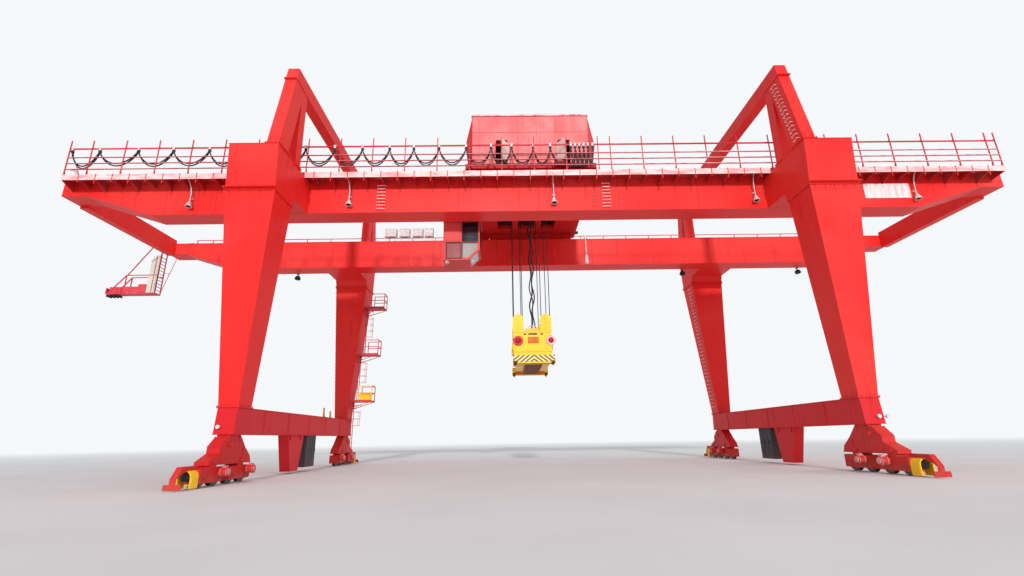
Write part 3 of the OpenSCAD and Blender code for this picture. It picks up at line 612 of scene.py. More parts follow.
# Sixteen double-flanged wheels of forged steel are bright on the treads, oiled and dusty on the webs.
# The trolley's own four wheels are made the same way.
wheel_steel = mottled("wheel_steel", colour(92, 88, 88), colour(128, 112, 100), 0.05, 5.0, (0.35, 0.7),
                      (0.3, 0.55), (0.001, 0.5), Metallic=0.85)
coat(wheel_steel, *[f"wheel_{side}{face}{n}" for side in "lr" for face in "fr" for n in range(1, 5)],
     "trolley_wheels")

# Buffers of black rubber stand under yellow hoods at the ends of each track, over steel sweepers
# that push stones off the rail. They take the place of the plain solids.
black_rubber = mottled("buffer_rubber", colour(34, 33, 34), colour(62, 58, 56), 0.02, 4.0, (0.4, 0.7),
                       (0.6, 0.8), (0.001, 0.5))
HOOD_Z, HOOD_WIDE, HOOD_IN, HOOD_FOOT, BACK_Y = 0.230, 0.150, 0.122, 0.020, 5.395


def half_round(radius, steps):
    """Points of a half circle over the hood's middle."""
    return [(radius * cos(pi * k / 24), HOOD_Z + radius * sin(pi * k / 24)) for k in steps]


shell = [(HOOD_WIDE, HOOD_FOOT), *half_round(HOOD_WIDE, range(25)), (-HOOD_WIDE, HOOD_FOOT),
         (-HOOD_IN, HOOD_FOOT), *half_round(HOOD_IN, range(24, -1, -1)), (HOOD_IN, HOOD_FOOT)]
hood = [cutout([(RAIL_X + x, z) for x, z in shell], BACK_Y, 5.645, "y"),
        bar((RAIL_X - HOOD_WIDE, BACK_Y, HOOD_FOOT), (RAIL_X + HOOD_WIDE, 5.402, 0.060)),
        *[bar((RAIL_X + x, y, 0.06), (RAIL_X + x + 0.006, y + 0.03, 0.25))
          for x in (-0.156, HOOD_WIDE) for y in (5.42, 5.59)]]
hoods = settle("buffer_hoods", yellow_coat, "portal", at_corners(hood))
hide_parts("buffers")
pad = turned([(0, 0.080), (0.02, 0.082), (0.07, 0.072), (0.09, 0.081), (0.15, 0.072), (0.17, 0.081),
              (0.215, 0.080), (0.230, 0.068)], 28, (0, 1, 0), (RAIL_X, BACK_Y, HOOD_Z))
rubbers = settle("buffer_rubbers", black_rubber, "portal", at_corners([pad]))
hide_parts("buffers")
arm = [(5.295, 0.381), (5.295, 0.445), (5.825, 0.445), (5.991, 0.230), (5.991, 0.125), (5.967, 0.125),
       (5.967, 0.220), (5.705, 0.370), (BACK_Y, 0.370), (BACK_Y, 0.381)]
sweeper = [cutout(arm, RAIL_X - 0.060, RAIL_X + 0.060, "x"),
           bar((RAIL_X - 0.170, 5.965, 0.020), (RAIL_X + 0.170, 5.995, 0.130), 0.003),
           *[bar((x, 5.30, 0.383), (x + 0.012, 5.82, 0.395), 0.001)
             for x in (RAIL_X - 0.072, RAIL_X + 0.060)],
           *[bolt_head(0.012, 0.010, (0, -1, 0), (RAIL_X + x, 5.967, 0.075)) for x in (-0.13, 0.13)]]
sweepers = settle("rail_sweepers", bogie_red, "portal", at_corners(sweeper))
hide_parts("buffers")

# Walkways of checker plate run outside both girders on sheared brackets, with a pale edge channel.
# The railing posts stand in clips bolted to that channel.
deck = Finish("walkway_red")
CHECK = 0.03
lined = deck.step(abs((deck.along("X") / CHECK).fraction() - 0.5), 0.30, 0.42)
cross_line = deck.step(abs((deck.along("Y") / CHECK).fraction() - 0.5), 0.30, 0.42)
dirt = deck.noise(0.5, 5.0)
deck_paint = deck.mix(deck.step(dirt, 0.4, 0.7), colour(196, 34, 38), colour(178, 78, 72))
deck_paint = deck.mix(lined * cross_line * 0.2, deck_paint, colour(120, 14, 18))
walkway_red = deck.done(deck_paint, deck.step(dirt, 0.3, 0.7, 0.45, 0.7),
                        deck.bump(lined * cross_line, 0.002, 0.7))
coat(walkway_red, "front_walkway", "rear_walkway")

edge_coat = Finish("pale_edge_paint")
scuff = edge_coat.noise(0.35, 5.0, edge_coat.stretched((0.6, 1.0, 3.0)))
chips = edge_coat.step(edge_coat.noise(0.04, 3.0), 0.60, 0.72)
edge_body = edge_coat.mix(edge_coat.step(scuff, 0.35, 0.70), colour(250, 214, 212), colour(238, 150, 150))
pale_edge = edge_coat.done(edge_coat.mix(chips * 0.6, edge_body, colour(214, 84, 84)),
                           0.45, edge_coat.bump(scuff, 0.0012, 0.5))
WALK_OUT, WALK_END, EDGE_LOW, EDGE_TOP = 3.257, 13.9, 8.262, 8.441
BRACKETS, BRACKET_RUN = 57, 27.76
HEAD_IN, HEAD_OUT, SHEET = 6.86, 8.14, 0.003
front_runs = ((-HEAD_IN - 0.001, HEAD_IN), (-WALK_END, -HEAD_OUT), (HEAD_OUT, WALK_END))
rear_runs = ((-WALK_END, -HEAD_OUT), (-HEAD_IN, HEAD_IN), (HEAD_OUT, WALK_END))
toe_runs = ((-WALK_END, -6.9), (-6.8, 6.8), (6.9, WALK_END))
edge_strips = [bar((x0, -WALK_OUT - SHEET, EDGE_LOW), (x1, -WALK_OUT, EDGE_TOP), 0.001)
               for x0, x1 in front_runs]
settle("front_edge_channel", pale_edge, "portal", edge_strips)
rear_edge = [bar((x0, WALK_OUT, EDGE_LOW), (x1, WALK_OUT + SHEET, EDGE_TOP), 0.001) for x0, x1 in rear_runs]
rear_edge += [bar((x0, GIRDER_OUT, GIRDER_TOP), (x1, 2.790, 8.50), 0.001) for x0, x1 in toe_runs]
settle("rear_edge_channel", pale_edge, "portal", rear_edge)
ties = []
for i in range(1, BRACKETS):
    x = 0.010 - WALK_END + BRACKET_RUN / BRACKETS * i
    if abs(abs(x) - RAIL_X) > 0.66:
        foot = 8.20 if i % 2 else 8.13
        ties += [bar((x - 0.012, -WALK_OUT - 0.010, foot), (x + 0.012, -WALK_OUT, 8.444), 0.001),
                 bar((x - 0.020, -WALK_OUT - 0.014, 8.436), (x + 0.020, -3.19, 8.446), 0.001),
                 bolt_head(0.010, 0.007, (0, -1, 0), (x, -WALK_OUT - 0.008, 8.40))]
settle("bracket_ties", leg_red, "portal", mirrored(ties, "y"), 20)

rail_red = painted(
    "railing_red", colour(206, 34, 44), colour(224, 84, 92), colour(120, 16, 24), streaks=0.3)
coat(rail_red, "front_railing", "rear_railing", "festoon_track", "leg_platforms", "leg_ladders",
     "hanging_platform")
POST_X = [-13.880, 13.880] + [-13.230 + 0.98 * i for i in range(6)] + [-6.845 + 0.96 * i for i in range(10)]
POST_X += [2.165 + 0.96 * i for i in range(6)] + [13.600 - 0.98 * i for i in range(6)]
clip = [bar((-0.028, -3.246, GIRDER_TOP), (0.028, -3.206, 8.442), 0.001),
        bar((-0.020, -3.2145, 8.442), (0.020, -3.205, 8.54), 0.001),
        bolt_head(0.009, 0.010, (0, 1, 0), (0, -3.206, 8.50))]
clips = at_each(clip, [(x, 0, 0) for x in POST_X])
settle("railing_post_clips", rail_red, "portal", mirrored(clips, "y"), 20)

# Pale hand lines of round tube are clamped to the outer faces of the rails on both walkways.
# On the front they are stouter right of the crane's middle.
pale_rail = mottled("pale_rail_paint", colour(238, 196, 200), colour(214, 110, 118), 0.25, 4.0,
                    (0.4, 0.75), 0.4, (0.0006, 0.4))
lines = []
for x0, x1, width in ((-13.88, -8.33, 0.010), (-6.845, 1.795, 0.010),
                      (2.165, 6.965, 0.026), (8.70, 13.88, 0.026)):
    for z in (8.624, 8.818, 9.014):
        lines += [rod((x0, 3.248, z), (x1, 3.248, z), 0.014, 8),
                  rod((x0, -3.252, z), (x1, -3.252, z), width, 8)]
settle("hand_lines", pale_rail, "portal", lines)

# The trailing cable hangs in loops from little trolleys with nylon rollers that run on the track.
# Its hangers hold it all the way, two rubber cables side by side in each saddle.
HANGERS = [TIP * share for share in (
    -0.975, -0.918, -0.838, -0.765, -0.69, -0.623, -0.556, -0.489, -0.428, -0.37, -0.313, -0.262, -0.209,
    -0.152, -0.099, -0.056, -0.01, 0.026, 0.07, 0.079, 0.088, 0.097, 0.106, 0.116)]
CABLE_Y, CABLE_Z, LOOP = -3.174, 9.240, 1.65
cable_black = mottled("cable_rubber", colour(26, 24, 30), colour(58, 50, 56), 0.15, 4.0, (0.4, 0.75),
                      (0.4, 0.6), (0.0006, 0.3))


def cable(points, width, sides=3):
    """A round cable along a list of points, with closed ends."""
    curve = bpy.data.curves.new("cable", "CURVE")
    curve.dimensions = "3D"
    curve.bevel_depth = width / 2
    curve.bevel_resolution = sides
    curve.use_fill_caps = True
    line = curve.splines.new("POLY")
    line.points.add(len(points) - 1)
    for spot, place in zip(line.points, points):
        spot.co = (*place, 1)
    piece = bpy.data.objects.new("cable", curve)
    bpy.context.collection.objects.link(piece)
    deselect()
    piece.select_set(True)
    bpy.context.view_layer.objects.active = piece
    bpy.ops.object.convert(target="MESH")
    return bpy.context.object


def loop_points(left, right, y, extra):
    """A loop between two hangers: out of each clamp a little, then down in a long bow."""
    width = right - left
    drop = 0.33 * sqrt(LOOP * LOOP - width * width) + extra
    points = []
    for k in range(20):
        t = k / 20
        bow = (4 * t * (1 - t)) ** (0.80 + 0.25 * (width < 0.3))
        points.append((left + t * width, y, CABLE_Z - drop * bow - 0.012 * sin(pi * t)))
    return points


strands = []
for y, extra in ((CABLE_Y - 0.014, 0.0), (CABLE_Y + 0.016, 0.06)):
    points = [spot for left, right in zip(HANGERS, HANGERS[1:])
              for spot in loop_points(left, right, y, extra)]
    strands.append(cable([*points, (HANGERS[-1], y, CABLE_Z)], 0.040, 2))
strand = settle("festoon_cables", cable_black, "portal", strands, 60)
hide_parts("festoon_cable")

white_nylon = mottled("nylon", colour(244, 240, 238), colour(214, 190, 186), 0.02, 3.0, (0.45, 0.75), 0.4,
                      (0.0008, 0.4), Coat_Weight=0.3)
carriage = []
for side in (-1, 1):
    carriage.append(bar((-0.030, CABLE_Y + side * 0.016, 9.285), (0.030, CABLE_Y + side * 0.026, 9.380)))
    carriage += [turned([(0, 0.013), (0.004, 0.018), (0.012, 0.018), (0.016, 0.010)], 12, (0, side, 0),
                        (x, CABLE_Y + side * 0.026, 9.365)) for x in (-0.018, 0.018)]
saddle = turned([(0, 0.030), (0.012, 0.042), (0.062, 0.042), (0.074, 0.030)], 14, (0, 1, 0),
                (0, CABLE_Y - 0.036, 9.245))
hung = [(x, 0, 0) for x in HANGERS]
settle("cable_carriages", white_nylon, "portal", at_each(carriage, hung))
settle("cable_saddles", cable_black, "portal", at_each([saddle], hung))

# Floodlights with spun reflectors hang on tubes from the front walkway and light the yard, three small
# ones hang under the rear girder, and one more on its inner side. A white beacon marks the left tip.
lamp_body = mottled("lamp_housing", colour(226, 220, 218), colour(184, 170, 168), 0.05, 3.0, (0.4, 0.7),
                    (0.35, 0.5), (0.0008, 0.3))
black_coat = painted("black_coat", colour(30, 30, 34), colour(46, 44, 48), colour(14, 14, 16), gloss=0.4,
                     streaks=0.2)
REFLECTOR = [(0, 0.026), (0.04, 0.030), (0.06, 0.052), (0.12, 0.062), (0.14, 0.084), (0.18, 0.094),
             (0.192, 0.094), (0.192, 0.080), (0.17, 0.072)]
SMALL_LAMP = [(0, 0.03), (0.03, 0.05), (0.05, 0.09), (0.12, 0.115), (0.15, 0.115), (0.15, 0.09), (0.14, 0.08)]
FLOOD_Y, POLE_X = -2.90, 2.165
flood, dark_parts = [], []
for x in (-10.30, -5.62, 0.45, 6.48, 11.35):
    flood += [cable([(x - 0.03, -3.12, 8.40), (x - 0.03, -3.02, 8.30), (x - 0.01, -2.93, 8.16),
                     (x, FLOOD_Y, 8.0), (x, FLOOD_Y, 7.72)], 0.030, 2),
              turned(REFLECTOR, 22, (0, -0.12, -1), (x, FLOOD_Y, 7.73)),
              bar((x - 0.05, -2.86, 7.82), (x + 0.05, -GIRDER_OUT, 7.85)),
              bar((x - 0.035, -3.15, 8.385), (x, -3.09, 8.40))]
    dark_parts += [turned([(0, 0.070), (0.012, 0.060)], 18, (0, -0.12, -1), (x, FLOOD_Y - 0.020, 7.560)),
                   rod((x + 0.035, FLOOD_Y, 8.2), (x + 0.035, FLOOD_Y, 7.72), 0.010, 6)]
for x in (-9.369, 6.150, 10.863):
    dark_parts += [bar((x - 0.05, 2.80, 7.330), (x + 0.05, 2.90, GIRDER_LOW)),
                   rod((x, 2.85, 7.335), (x, 2.85, 7.27), 0.026, 8),
                   turned(SMALL_LAMP, 18, (0, -0.25, -1), (x, 2.85, 7.28))]
beacon = [bar((-13.80, -3.20, GIRDER_TOP), (-13.60, -3.04, 8.45)),
          turned([(0, 0.115), (0.03, 0.125), (0.10, 0.115), (0.24, 0.075), (0.32, 0.060), (0.345, 0.03)],
                 22, (0, 0, 1), (-13.70, -3.10, 8.45))]
settle("tip_beacon", white_nylon, "portal", beacon)
flood += [bar((2.10, 2.05, GIRDER_TOP), (2.24, GIRDER_IN, 8.47)),
          cable([(POLE_X, 2.075, 8.549), (POLE_X, 2.06, 8.35), (POLE_X, 2.065, 7.70)], 0.045, 3),
          turned([(0, 0.045), (0.04, 0.06), (0.10, 0.065), (0.30, 0.085), (0.36, 0.085), (0.38, 0.05)], 20,
                 (0, 0, -1), (POLE_X, 2.065, 7.74))]
settle("floodlight_poles", lamp_body, "portal", flood)
settle("lamp_glasses", black_coat, "portal", dark_parts)

# A blank white enamel plate is riveted to the right end of the front web. It carries no lettering.
# A raised rim runs round it, and rain has left pale red stains on it.
enamel = Finish("white_enamel")
wash = enamel.noise(0.4, 4.0, enamel.stretched((4.0, 1.0, 0.7)))
stained = enamel.mix(enamel.step(wash, 0.4, 0.75), colour(244, 238, 236), colour(226, 186, 184))
white_enamel = enamel.done(stained, 0.3, enamel.bump(wash, 0.0006, 0.3), Coat_Weight=0.4)
PLATE_X0, PLATE_X1, PLATE_LOW, PLATE_TOP, RIM = 9.870, 11.273, 7.647, 8.126, 0.016
plate = [bar((PLATE_X0, -2.793, PLATE_LOW), (PLATE_X1, -2.784, PLATE_TOP), 0.004),
         *[bar((PLATE_X0, -2.799, z), (PLATE_X1, -2.791, z + RIM), 0.002)
           for z in (PLATE_LOW, PLATE_TOP - RIM)],
         *[bar((x, -2.799, PLATE_LOW), (x + RIM, -2.791, PLATE_TOP), 0.002)
           for x in (PLATE_X0, PLATE_X1 - RIM)],
         *[turned([(0, 0.012), (0.004, 0.010), (0.007, 0.004)], 10, (0, -1, 0), (x, -2.792, z))
           for x in (9.93, 10.35, 10.79, 11.21) for z in (7.69, 8.083)]]
settle("blank_web_plate", white_enamel, "portal", plate)

# Grey junction boxes stand in a row along the rear walkway, on two feet each. Their lids are
# pressed sheet, with a small roof against the rain.
BOX_LOW, BOX_TOP = 8.917, 9.254
boxes = []
for x0, x1 in ((-5.982, -5.50), (-5.38, -4.96), (-4.84, -4.42), (-4.34, -3.991)):
    boxes += [bar((x0, 2.80, BOX_LOW), (x1, 3.02, BOX_TOP), 0.006),
              bar((x0 + 0.02, 2.79, BOX_LOW + 0.02), (x1 - 0.02, 2.80, BOX_TOP - 0.02), 0.003),
              bar((x0 - 0.008, 2.79, BOX_TOP), (x1 + 0.008, 3.04, BOX_TOP + 0.008), 0.002),
              *[bar((x, 2.86, GIRDER_TOP), (x + 0.03, 2.89, BOX_LOW), 0.002) for x in (x0 + 0.04, x1 - 0.07)]]
settle("junction_boxes", lamp_body, "portal", boxes)

# Landings of open grating climb the rear left leg, reached by ladders with hoops of round bar.
# A yellow chest for the locking gear stands on the lowest one.
hoops, grating = [], []
for foot, first, top in ((0.15, 1.3, 2.35), (2.38, 0.75, 4.20), (4.23, 0.75, 6.15)):
    x = -(RAIL_X - leg_side(top)) + 0.08
    arch = [(x + 0.30 * sin(pi * k / 10), 4.074 - 0.17 * cos(pi * k / 10)) for k in range(11)]
    z = foot + first
    while z < top - 0.1:
        hoops.append(cable([(*spot, z) for spot in arch], 0.012, 1))
        z += 0.26
    hoops += [rod((*arch[k], foot + first), (*arch[k], top - 0.32), 0.010, 5) for k in (3, 5, 7)]
    x = -(RAIL_X - leg_side(top + 0.03))
    grating += [bar((x + 0.02 + k * 0.051, 3.83, top + 0.030), (x + 0.024 + k * 0.051, 4.32, top + 0.040), 0)
                for k in range(16)]
    grating += [bar((x + 0.01, y, top + 0.030), (x + 0.85, y + 0.006, top + 0.075), 0)
                for y in (3.824, 4.318)]
settle("landing_hoops", rail_red, "portal", hoops, 50)
settle("landing_gratings", rail_red, "portal", grating)
x = -(RAIL_X - leg_side(2.38))
chest = [bar((x + 0.34, 3.86, 2.385), (x + 0.80, 4.06, 2.62), 0.012),
         bar((x + 0.33, 3.85, 2.62), (x + 0.81, 4.07, 2.645), 0.006),
         bar((x + 0.54, 3.845, 2.58), (x + 0.60, 3.86, 2.63), 0.002),
         *[bar((x + dx, 3.815, 2.40), (x + dx + 0.028, 3.824, 2.98), 0.002) for dx in (0.30, 0.824)],
         *[bar((x + 0.30, 3.812, z), (x + 0.852, 3.824, z + 0.026), 0.002) for z in (2.66, 2.954)]]
settle("yellow_landing_chest", yellow_coat, "portal", chest)

# The access platform under the left tip has a sheet screen beside its ladder, red boxes and kick
# plates on its floor, rollers below its outer end and a brace up to the girder.
screen = painted("beige_sheet", colour(214, 202, 190), colour(230, 218, 206), colour(150, 130, 120),
                 gloss=0.5)
PANEL_X0, PANEL_X1, PANEL_LOW = -14.56, -14.235, 6.345
outline = [(PANEL_X0, PANEL_LOW), (PANEL_X1, PANEL_LOW), (PANEL_X1, 7.84), (-14.40, 7.84), (PANEL_X0, 7.62)]
panel = [cutout(outline, 1.786, 1.794, "y"),
         *[bar((x, 1.780, 6.35), (x + 0.014, 1.787, 7.80), 0.002) for x in (-14.50, -14.42, -14.28)]]
settle("platform_screen", screen, "portal", panel)
kick = [bar((-15.45, 1.770, PANEL_LOW), (-14.57, 1.780, 6.58), 0.002),
        bar((-14.88, 1.785, PANEL_LOW), (-14.58, 2.05, 6.68), 0.008),
        bar((-15.93, 1.80, PANEL_LOW), (-15.50, 2.06, 6.56), 0.008),
        bar((-15.94, 1.79, 6.56), (-15.49, 2.07, 6.575), 0.003),
        bar((-15.85, 1.792, 6.40), (-15.60, 1.80, 6.53), 0.003),
        rod((-14.215, 2.09, 6.40), (-13.80, 2.13, 7.995), 0.022, 8),
        rod((-14.215, 2.09, 7.20), (-14.02, 2.11, 7.20), 0.016, 6)]
kick += [bar((x, 1.79, 6.339), (x + 0.006, 2.09, 6.352), 0) for x in [-16.0 + 0.06 * k for k in range(29)]]
settle("platform_fittings", rail_red, "portal", kick)
feet = [rod((x, 1.82, 6.245), (x, 2.06, 6.245), 0.075, 14) for x in (-16.00, -15.87, -15.74, -15.61)]
feet += [rod((-14.365, 1.776, 6.36), (-14.365, 1.776, 7.80), 0.016, 6),
         rod((-14.215, 1.77, 6.34), (-14.215, 1.77, 7.90), 0.020, 6)]
settle("platform_rollers", black_coat, "portal", feet)

# The trolley is a welded deck that rolls on four wheels along the girder rails and carries the
# machine house. Rubber buffers face the end stops, and a black sleeve on the tow arm pulls the cable.
TROLLEY_X = -0.2
trolley_red = painted("trolley_red", colour(204, 26, 28), colour(210, 46, 44), colour(110, 10, 14),
                      streaks=0.5)
coat(trolley_red, "trolley_frame")
rail_finish = Finish("rail_steel")
polish = rail_finish.noise(0.4, 4.0, rail_finish.stretched((0.3, 1.0, 1.0)))
on_top = rail_finish.step(rail_finish.facing("Z"), 0.5, 0.9)
rail_body = rail_finish.mix(on_top, colour(120, 74, 60), colour(168, 164, 160))
rail_body = rail_finish.mix(rail_finish.step(polish, 0.45, 0.7) * 0.4, rail_body, colour(96, 60, 50))
rail_steel = rail_finish.done(rail_body, rail_finish.step(polish, 0.3, 0.7, 0.3, 0.5),
                              rail_finish.bump(polish, 0.0008, 0.3), Metallic=0.7)
coat(rail_steel, "trolley_rails")
clip = []
for side in (-1, 1):
    clip += [bar((-0.03, RAIL_Y + side * 0.030, GIRDER_TOP), (0.03, RAIL_Y + side * 0.070, 8.446)),
             bar((-0.02, RAIL_Y + side * 0.020, 8.440), (0.02, RAIL_Y + side * 0.040, 8.458)),
             bolt_head(0.011, 0.018, (0, 0, 1), (0, RAIL_Y + side * 0.055, 8.444))]
rail_clips = at_each(clip, [(-13.65 + 0.65 * i, 0, 0) for i in range(43)])
settle("rail_clips", rail_steel, "portal", mirrored(rail_clips, "y"), 20)

pads = [turned([(0, 0.085), (0.015, 0.085), (0.015, 0.07), (0.12, 0.06), (0.14, 0.045)], 20, (side, 0, 0),
               (TROLLEY_X + side * 2.0, y, 8.850)) for side in (-1, 1) for y in (-RAIL_Y, RAIL_Y)]
SLEEVE_X = TROLLEY_X + 1.37
pads.append(cable([(SLEEVE_X - 0.24, -3.10, 8.64), (SLEEVE_X - 0.10, -3.115, 8.62),
                   (SLEEVE_X + 0.10, -3.115, 8.62), (SLEEVE_X + 0.24, -3.10, 8.64)], 0.085, 3))
settle("trolley_buffers", black_rubber, "trolley", pads)

DECK_X, DECK_Y, THICK = 2.0, 2.80, 0.012
frame_parts = []
for x in [TROLLEY_X + dx for dx in (-1.9, -1.3, 1.3, 1.9)]:
    for y in (-DECK_Y, 2.784):
        frame_parts.append(bar((x - 0.007, y, 8.785), (x + 0.007, y + 0.016, 8.915), 0.001))
for side in (-1, 1):
    x0, x1 = TROLLEY_X + side * DECK_X, TROLLEY_X + side * (DECK_X + THICK)
    y0, y1 = side * DECK_Y, side * (DECK_Y + THICK)
    for z0, z1 in ((8.906, 8.930), (8.770, 8.790)):
        frame_parts += [bar((TROLLEY_X - DECK_X, y0, z0), (TROLLEY_X + DECK_X, y1, z1), 0.001),
                        bar((x0, -DECK_Y, z0), (x1, DECK_Y, z1), 0.001)]
WHEEL_CAP = [(0, 0.07), (0.014, 0.07), (0.014, 0.045), (0.020, 0.045)]
for x in (TROLLEY_X - 1.3, TROLLEY_X + 1.3):
    for rail in (-RAIL_Y, RAIL_Y):
        for way in (-1, 1):
            frame_parts.append(turned(WHEEL_CAP, 18, (0, way, 0), (x, rail + way * 0.082, 8.64)))
settle("trolley_edges", trolley_red, "trolley", frame_parts)

# The machine house is made of ribbed sheet on a light frame. Its pale red paint is washed out by the
# sun on the front faces, and all its other faces are painted a darker red as painted shade. It has two
# doorways on the front, rain hoods at both ends and louvres at the back.
house = Finish("house_red")
bleach = house.noise(0.9, 5.0, house.stretched((1.0, 1.0, 0.8)))
runs = house.noise(1.0, 5.0, house.stretched((7.0, 7.0, 0.5)))
house_body = house.mix(house.step(bleach, 0.30, 0.72), colour(238, 84, 86), colour(244, 138, 136))
# Faces turned to the front keep the pale paint; every other face gets dark red, painted shade.
lit_front_mask = house.step(house.facing("Y"), -0.80, -0.95)
shaded = house.mix(lit_front_mask, colour(190, 22, 30), house_body)
shaded = house.mix(house.step(runs, 0.55, 0.8) * 0.45, shaded, colour(206, 30, 40))
joint_x = house.step(abs((house.along("X") / 0.60).fraction() - 0.5), 0.485, 0.496)
house_height = joint_x * -1.0 + house.noise(0.4, 1.0) * 0.8 + house.noise(0.01, 2.0) * 0.1
house_red = house.done(house.mix(joint_x * 0.5, shaded, colour(180, 34, 44)),
                       house.step(bleach, 0.3, 0.7, 0.42, 0.6), house.bump(house_height, 0.003, 0.6))
coat(house_red, "house_walls", "house_roof")
X0, X1, WALL, FLOOR, ROOF = TROLLEY_X - 1.8, TROLLEY_X + 1.8, 2.8, 8.93, 10.66
DOORS = ((TROLLEY_X - 1.08, TROLLEY_X - 0.70), (TROLLEY_X + 0.83, TROLLEY_X + 1.21))
DOOR_TOP, SEAM_Z, WALL_TOP, VENT_LOW, VENT_TOP = 9.63, 10.030, 10.60, 9.32, 9.83
battens = []
for y in (-WALL - 0.012, WALL):
    uprights = [(X0, 0.03, FLOOR, WALL_TOP), (X1 - 0.03, 0.03, FLOOR, WALL_TOP)]
    uprights += [(x, 0.018, 10.052, WALL_TOP) for x in (-1.40, -0.42, 0.22, 0.60)]
    uprights += [(x, 0.018, FLOOR, SEAM_Z) for x in (-1.62, -0.60, 0.10, 1.30)]
    battens.append(bar((X0 + 0.02, y, SEAM_Z), (X1 - 0.02, y + 0.012, 10.052), 0.001))
    battens += [bar((x, y, z0), (x + wide, y + 0.012, z1), 0.001) for x, wide, z0, z1 in uprights]
for x0, x1 in DOORS:
    for low, high in (((x0 - 0.03, FLOOR), (x0, DOOR_TOP + 0.008)),
                      ((x1, FLOOR), (x1 + 0.03, DOOR_TOP + 0.008)),
                      ((x0 - 0.03, DOOR_TOP), (x1 + 0.03, DOOR_TOP + 0.03))):
        battens.append(bar((low[0], -WALL - 0.015, low[1]), (high[0], -WALL, high[1]), 0.001))
for z in [9.35 + 0.05 * k for k in range(9)]:
    blade = [(WALL, z), (WALL, z + 0.045), (WALL + 0.035, z + 0.004), (WALL + 0.030, z)]
    battens += [cutout(blade, x0, x0 + 0.7, "x") for x0 in (-1.5, 0.4)]
for x0, x1 in ((-1.53, -0.77), (0.37, 1.13)):
    battens += [bar((x0, WALL, VENT_LOW), (x0 + 0.03, WALL + 0.04, VENT_TOP), 0.001),
                bar((x1 - 0.03, WALL, VENT_LOW), (x1, WALL + 0.04, VENT_TOP), 0.001),
                bar((x0, WALL, VENT_TOP - 0.03), (x1, WALL + 0.045, VENT_TOP), 0.001),
                bar((x0, WALL, VENT_LOW), (x1, WALL + 0.04, VENT_LOW + 0.025), 0.001)]
battens += [bar((-0.75, -0.6, ROOF), (0.35, 0.6, ROOF + 0.035), 0.008),
            bar((-0.72, -0.57, ROOF + 0.035), (0.32, 0.57, ROOF + 0.055), 0.006)]
for x in (-1.7, 1.3):
    eye = [(x - 0.05, ROOF), (x + 0.05, ROOF), (x + 0.03, ROOF + 0.09), (x - 0.03, ROOF + 0.09)]
    battens += [cutout(eye, y, y + 0.014, "y") for y in (-2.5, 2.5)]
settle("house_battens", house_red, "trolley", battens)
GUTTER_LOW, GUTTER_TOP = 10.612, 10.664
gutter = []
for side, x in ((-1, X0), (1, X1)):
    gutter += [bar((X0 - 0.024, side * (WALL + 0.032), GUTTER_LOW),
                   (X1 + 0.024, side * (WALL + 0.020), GUTTER_TOP)),
               bar((x + side * 0.032, -WALL - 0.032, GUTTER_LOW),
                   (x + side * 0.020, WALL + 0.032, GUTTER_TOP))]
settle("roof_edge_strip", pale_rail, "trolley", gutter)
awnings = []
for x0, x1 in DOORS:
    sheet = [(-WALL, 9.662), (-WALL - 0.165, 9.640), (-WALL - 0.165, 9.650), (-WALL, 9.696)]
    awnings += [cutout(sheet, x0 + 0.01, x1 - 0.01, "x"),
                *[bar((x, -WALL - 0.15, 9.640), (x + 0.01, -WALL, 9.652), 0) for x in (x0 + 0.03, x1 - 0.04)]]
settle("door_awnings", black_coat, "trolley", awnings)
coat(screen, "house_doors")

# Inside the house two grooved rope drums on each line of falls lie across the trolley, driven by a
# gearbox and a motor. Two rows of grey lockers stand in front of them, behind the doorways.
drums = []
profile = [(0, 0.10), (0.02, 0.30), (0.06, 0.30), (0.06, 0.24)]
for k in range(22):
    profile += [(0.08 + 0.04 * k, 0.24), (0.10 + 0.04 * k, 0.232)]
profile += [(1.00, 0.24), (1.00, 0.30), (1.04, 0.30), (1.06, 0.10)]
for x in (TROLLEY_X - 0.44, TROLLEY_X + 0.44):
    drums += [turned(profile, 24, (0, 1, 0), (x, y, 9.36)) for y in (-1.45, 0.40)]
BED = 8.935
drums += [bar((TROLLEY_X - 0.62, -0.32, BED), (TROLLEY_X + 0.62, 0.32, 9.62), 0.03),
          bar((TROLLEY_X - 0.9, -1.75, BED), (TROLLEY_X + 0.9, -1.60, 9.20), 0.01),
          bar((TROLLEY_X - 0.9, 1.60, BED), (TROLLEY_X + 0.9, 1.75, 9.20), 0.01),
          turned([(0, 0.2), (0.05, 0.24), (0.7, 0.24), (0.75, 0.18)], 24, (1, 0, 0),
                 (TROLLEY_X + 0.62, 0, 9.32)),
          bar((X0 + 0.08, -0.9, BED), (X0 + 0.42, 0.9, 10.1), 0.01)]
settle("rope_drums_and_gearbox", black_coat, "trolley", drums)
lockers = []
for x0, x1 in ((-1.50, -0.72), (0.42, 1.22)):
    lockers += [bar((x0, -2.05, BED), (x1, -1.70, 9.95), 0.006),
                bar((x0 - 0.01, -2.06, 9.95), (x1 + 0.01, -1.69, 9.975), 0.003)]
    for x in (x0, x0 + 0.25, x0 + 0.50):
        lockers += [bar((x + 0.03, -2.056, 9.00), (x + 0.26, -2.05, 9.90), 0.003),
                    bar((x + 0.22, -2.068, 9.42), (x + 0.235, -2.056, 9.50), 0.001)]
settle("house_lockers", cabinet, "trolley", lockers)

